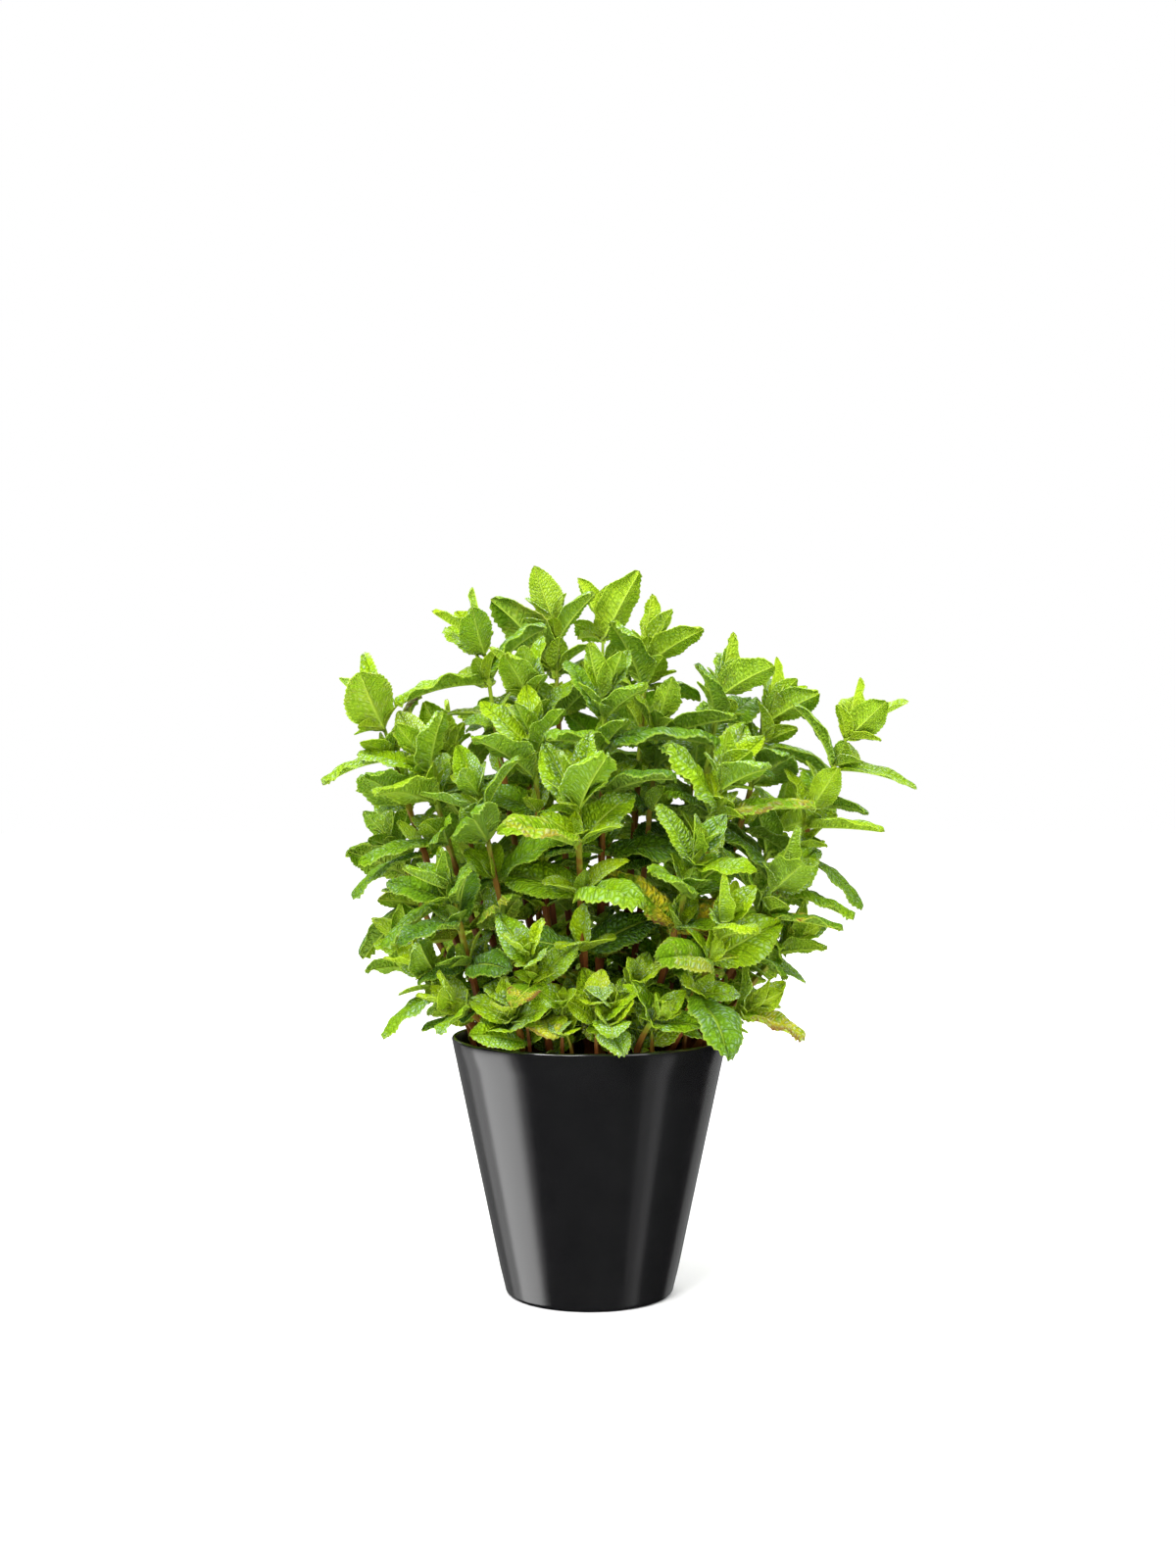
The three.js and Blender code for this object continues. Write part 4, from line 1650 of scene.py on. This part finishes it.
@dataclass(frozen=True)
class LeafFinish(Finish):
    """Mint leaf: yellow green when young, deep green when old, paler below, quilted between its veins, with painted
    shade in the grooves and painted glints on the pillows.
    """

    greens: Stops = (
        (0.0, (0.33, 0.48, 0.002)),
        (0.3, (0.26, 0.43, 0.002)),
        (0.62, (0.17, 0.33, 0.002)),
        (1.0, (0.075, 0.18, 0.006)),
    )
    # painted glint: the whitish highlight painted on the tops of the pillows
    raised: Colour = (0.54, 0.68, 0.64)
    # painted shade: the dark green painted into the grooves of the veins and the net
    painted_groove_shade: Colour = (0.06, 0.13, 0.001)
    pale_vein: Colour = (0.44, 0.58, 0.07)
    underside: Colour = (0.29, 0.44, 0.05)
    yellowed: Colour = (0.72, 0.55, 0.01)
    withered: Colour = (0.16, 0.075, 0.02)
    dull: float = 0.78  # the roughness of the veins and of the underside
    cells_along: float = 1.35  # cells of the net from one side vein to the next
    cells_across: float = 4.2  # and from the midrib to the edge
    net_shift: float = 70.0  # how far the net of one leaf may be shifted from another's
    patches: float = 70.0
    patch_ageing: float = 0.3  # how far patches, and the leaf's own tint, change its age
    tint_ageing: float = 0.45
    relief_height: float = 0.0011
    translucence: float = 0.25
    scatter: Triple = (0.8, 1.0, 0.05)
    scatter_depth: float = 0.0015

    def dress(self, wiring: Wiring) -> None:
        """Adds the leaf's colours, with painted shade in its grooves and painted glints on its pillows, and its
        gloss and relief.

        Args:
            wiring: the material's wiring.
        """
        vein, shifted, _ = wiring.node("ShaderNodeSeparateXYZ", {0: wiring.chart()}).parts()
        tone = wiring.node("ShaderNodeAttribute", output="Color", attribute_type="GEOMETRY", attribute_name=TONE)
        age, tint, yellow = wiring.node("ShaderNodeSeparateColor", {0: tone}).parts()
        below = shifted > UNDERSIDE / 2
        across = abs(shifted - below * UNDERSIDE)
        net_place = {0: vein * self.cells_along + tint * self.net_shift, 1: shifted * self.cells_across}
        net = wiring.node("ShaderNodeCombineXYZ", net_place)
        height, painted_groove_shade, glint, midrib = wiring.effect(Effect.RELIEF, Vein=vein, Across=across, Net=net)
        patch, fine = wiring.effect(Effect.MOTTLE, Place=wiring.place(), Scale=self.patches, Depth=1.0)
        aged = (age + (patch - 0.5) * self.patch_ageing + (tint - 0.5) * self.tint_ageing).clamped()
        shallow, upper = 1.0 - below * 0.15, 1.0 - below * 0.7  # the underside has less relief and less gloss

        green = wiring.ramp(aged, self.greens)
        # painted shade in the grooves, a little less on the underside
        green = wiring.mix(painted_groove_shade * (shallow * (age * 0.3 + 0.4)), green, self.painted_groove_shade)
        # painted glint: whitish highlights painted on the pillow tops, in patches, faint on the underside and on
        # old leaves
        shine = patch.spread(0.4, 0.66, 0.0, 0.75) * upper * tint.spread(0.1, 0.9, 0.4, 1.0)
        green = wiring.mix(glint * (shine * aged.spread(0.3, 1.0, 1.0, 0.25)), green, self.raised)
        green = wiring.mix(midrib * 0.65, green, self.pale_vein)
        green = wiring.mix(across.spread(0.9, 1.0, 0.0, 0.3), green, self.pale_vein)
        green = wiring.mix((yellow * patch.spread(0.35, 0.75)).clamped(), green, self.yellowed)
        dry = across.spread(0.55, 1.0) * patch.spread(0.5, 0.62)
        green = wiring.mix(dry * yellow.spread(0.1, 0.5), green, self.withered)
        green = wiring.mix(below * (age * 0.45 + 0.15), green, self.underside)
        wiring.paint("Base Color", green)

        dull = (glint * upper).spread(0.1, 0.9, self.dull, self.roughness)
        wiring.paint("Roughness", fine.spread(0.3, 0.7, -0.05, 0.08) + dull)
        turned = (1.0 - below * 2.0) * (shallow * (age + 0.45))
        wiring.bump(height * turned, 1.0, self.relief_height)
        wiring.paint("Subsurface Weight", self.translucence)
        wiring.paint("Subsurface Radius", self.scatter)
        wiring.paint("Subsurface Scale", self.scatter_depth)


@dataclass(frozen=True)
class StemFinish(Finish):
    """Mint stem: red brown and ridged low down, green towards the tip."""

    colours: Stops = (
        (0.0, (0.14, 0.038, 0.010)),
        (0.45, (0.17, 0.047, 0.010)),
        (0.72, (0.22, 0.12, 0.013)),
        (0.9, (0.24, 0.36, 0.02)),
    )
    streak: Colour = (0.24, 0.13, 0.025)
    streaks: Triple = (40.0, 14.0, 1.0)  # their number round the stem and along it
    patches: float = 45.0
    patch_depth: float = 1.4
    patch_shift: float = 0.4  # how far patches shift the colours along the stem
    ridge_height: float = 0.0003

    def dress(self, wiring: Wiring) -> None:
        """Adds the stem's colours, patches and streaks.

        Args:
            wiring: the material's wiring.
        """
        chart = wiring.chart()
        _, height, _ = wiring.node("ShaderNodeSeparateXYZ", {0: chart}).parts()
        patch, _ = wiring.effect(Effect.MOTTLE, Place=wiring.place(), Scale=self.patches, Depth=self.patch_depth)
        colour = wiring.ramp((height + (patch - 0.5) * self.patch_shift).clamped(), self.colours)
        stretched = wiring.node("ShaderNodeMapping", {"Vector": chart, "Scale": self.streaks})
        streaks = wiring.noise(stretched, 1.0, 3.0)
        wiring.paint("Base Color", wiring.mix(streaks.spread(0.45, 0.75, 0.0, 0.3), colour, self.streak))
        wiring.bump(streaks, 0.5, self.ridge_height)


@dataclass(frozen=True)
class PotFinish(Finish):
    """Gloss black plastic with a trace of unevenness and dust."""

    black: Colour = (0.0045, 0.0046, 0.005)
    dusty: Colour = (0.009, 0.009, 0.0095)
    patches: float = 12.0
    grain: float = 900.0
    grain_height: float = 0.0001

    def dress(self, wiring: Wiring) -> None:
        """Adds the dust and the unevenness.

        Args:
            wiring: the material's wiring.
        """
        place = wiring.place()
        patch, _ = wiring.effect(Effect.MOTTLE, Place=place, Scale=self.patches, Depth=1.0)
        wiring.paint("Base Color", wiring.mix(patch, self.black, self.dusty))
        wiring.paint("Roughness", patch.spread(0.2, 0.8, self.roughness - 0.015, self.roughness + 0.02))
        wiring.bump(wiring.noise(place, self.grain, 1.0), 0.015, self.grain_height)


@dataclass(frozen=True)
class SoilFinish(Finish):
    """Dark, damp, crumbly compost."""

    dark: Colour = (0.012, 0.008, 0.005)
    light: Colour = (0.075, 0.045, 0.025)
    patches: float = 160.0
    patch_depth: float = 1.6
    grain_height: float = 0.0012

    def dress(self, wiring: Wiring) -> None:
        """Adds the patches and the grain.

        Args:
            wiring: the material's wiring.
        """
        patch, fine = wiring.effect(Effect.MOTTLE, Place=wiring.place(), Scale=self.patches, Depth=self.patch_depth)
        wiring.paint("Base Color", wiring.mix(patch, self.dark, self.light))
        wiring.bump(fine, 0.9, self.grain_height)


# The studio


@dataclass(frozen=True)
class Softbox:
    """A rectangular soft light. Sizes and places in metres; mirrored_only ones show only in gloss."""

    name: str
    place: Triple
    aim: Triple
    width: float
    height: float
    power: float
    mirrored_only: bool = False

    def build(self) -> None:
        """Hangs the light."""
        lamp = bpy.data.lights.new(self.name, "AREA")
        lamp.shape = "RECTANGLE"
        lamp.size, lamp.size_y = self.width, self.height
        lamp.energy = self.power
        thing = new_object(self.name, lamp)
        thing.location = self.place
        thing.rotation_euler = (Vector(self.aim) - Vector(self.place)).to_track_quat("-Z", "Y").to_euler()
        thing.visible_camera = False
        thing.visible_diffuse = not self.mirrored_only


@dataclass
class Studio:
    """The white floor and room, the soft lights and the camera. Sizes in metres."""

    floor_radius: float = 9.0
    floor_sides: int = 96
    floor_white: float = 0.9
    floor_roughness: float = 0.8
    floor_glow: float = 0.45  # the far floor shines a little, so that it runs into the room without an edge
    glow_from: tuple[float, float] = (0.4, 2.2)
    room_light: float = 0.8
    camera_place: Triple = (-0.0007, -0.926, 0.2478)
    focal_length: float = 43.4  # this and the sensor's width are in millimetres
    sensor_width: float = 36
    softboxes: tuple[Softbox, ...] = (
        Softbox("key_light", (-0.75, -1.2, 1.5), (0, 0, 0.22), 1.1, 0.9, 50),
        Softbox("fill_light", (1.3, -1.1, 1.0), (0, 0, 0.2), 1.2, 1.2, 12),
        Softbox("back_light", (0.2, 1.4, 1.7), (0, 0, 0.22), 1.4, 0.8, 18),
        Softbox("top_light", (0.0, -0.1, 1.7), (0, 0, 0.22), 2.2, 1.8, 22),
        Softbox("back_wall", (0.0, 1.5, 1.3), (0, 0, 0.3), 3.4, 1.4, 22, True),
        Softbox("left_panel", (-0.36, -0.022, -0.10), (0, -0.022, -0.10), 0.234, 0.36, 0.69, True),
        Softbox("left_panel_edge", (-0.36, -0.158, -0.10), (0, -0.158, -0.10), 0.038, 0.36, 0.075, True),
        Softbox("left_panel_fade", (-0.36, -0.206, -0.10), (0, -0.206, -0.10), 0.058, 0.36, 0.027, True),
        Softbox("left_panel_back", (-0.36, 0.175, -0.10), (0, 0.175, -0.10), 0.16, 0.36, 0.15, True),
        Softbox("right_strip", (0.34, -0.17, -0.10), (0, -0.02, -0.10), 0.07, 0.36, 0.034, True),
        Softbox("right_strip_fade", (0.31, -0.24, -0.10), (0, -0.02, -0.10), 0.08, 0.36, 0.019, True),
        Softbox("back_panel_left", (-0.42, 0.62, -0.1), (0, 0, 0.0), 0.5, 0.7, 0.25, True),
        Softbox("back_panel_right", (0.5, 0.7, -0.1), (0, 0, 0.0), 0.5, 0.7, 0.4, True),
    )

    def build(self) -> None:
        """Builds the studio."""
        self._lay_floor()
        for softbox in self.softboxes:
            softbox.build()
        self._light_room()
        self._set_camera()
        bpy.context.scene.view_settings.view_transform = "Standard"

    def _lay_floor(self) -> None:
        """Lays a wide, round, white floor."""
        bpy.ops.mesh.primitive_circle_add(vertices=self.floor_sides, radius=self.floor_radius, fill_type="NGON")
        floor = bpy.context.active_object
        floor.name = floor.data.name = "floor"
        material, wiring = new_material("floor_paint")
        wiring.paint("Base Color", (self.floor_white,) * 3)
        wiring.paint("Roughness", self.floor_roughness)
        away = wiring.node("ShaderNodeVectorMath", {0: wiring.place()}, "Value", operation="LENGTH")
        wiring.paint("Emission Color", (1, 1, 1))
        wiring.paint("Emission Strength", away.spread(*self.glow_from, 0.0, self.floor_glow))
        floor.data.materials.append(material)
        floor.visible_glossy = False

    def _light_room(self) -> None:
        """Fills the room with soft light, and shows it as white behind the object."""
        world = bpy.data.worlds.new("room")
        world.use_nodes = True
        wiring = Wiring(world.node_tree)
        background = world.node_tree.nodes["Background"]
        seen = wiring.node("ShaderNodeLightPath", output="Is Camera Ray")
        wiring.feed(background.inputs["Color"], (1, 1, 1))
        wiring.feed(background.inputs["Strength"], seen * (1.0 - self.room_light) + self.room_light)
        world.cycles_visibility.glossy = False
        bpy.context.scene.world = world

    def _set_camera(self) -> None:
        """Stands the camera where the photograph was taken from."""
        lens = bpy.data.cameras.new("camera")
        lens.lens = self.focal_length
        lens.sensor_width = self.sensor_width
        camera = new_object("camera", lens)
        camera.location = self.camera_place
        camera.rotation_euler = (math.radians(90), 0, 0)
        bpy.context.scene.camera = camera


def main() -> None:
    """Builds the studio, the pot, the soil and the plant."""
    build_effect(Effect.MOTTLE, {"Place": "Vector", "Scale": "Float", "Depth": "Float"}, ["Value", "Fine"], mottle)
    masks = ["Height", "Painted_Groove_Shade", "Glint", "Midrib"]
    build_effect(Effect.RELIEF, {"Vein": "Float", "Across": "Float", "Net": "Vector"}, masks, relief)
    Studio().build()
    Pot().build(PotFinish("gloss_black_plastic", roughness=0.19, specular=1.0).build())
    Soil().build(SoilFinish("damp_compost", roughness=0.9, specular=0.25).build())
    leaf = LeafFinish("mint_leaf", roughness=0.3, specular=0.15).build()
    stem = StemFinish("mint_stem", roughness=0.5, specular=0.15).build()
    Plant().build(leaf, stem)


if __name__ == "__main__":
    logging.basicConfig(level=logging.INFO, format="%(message)s")
    main()
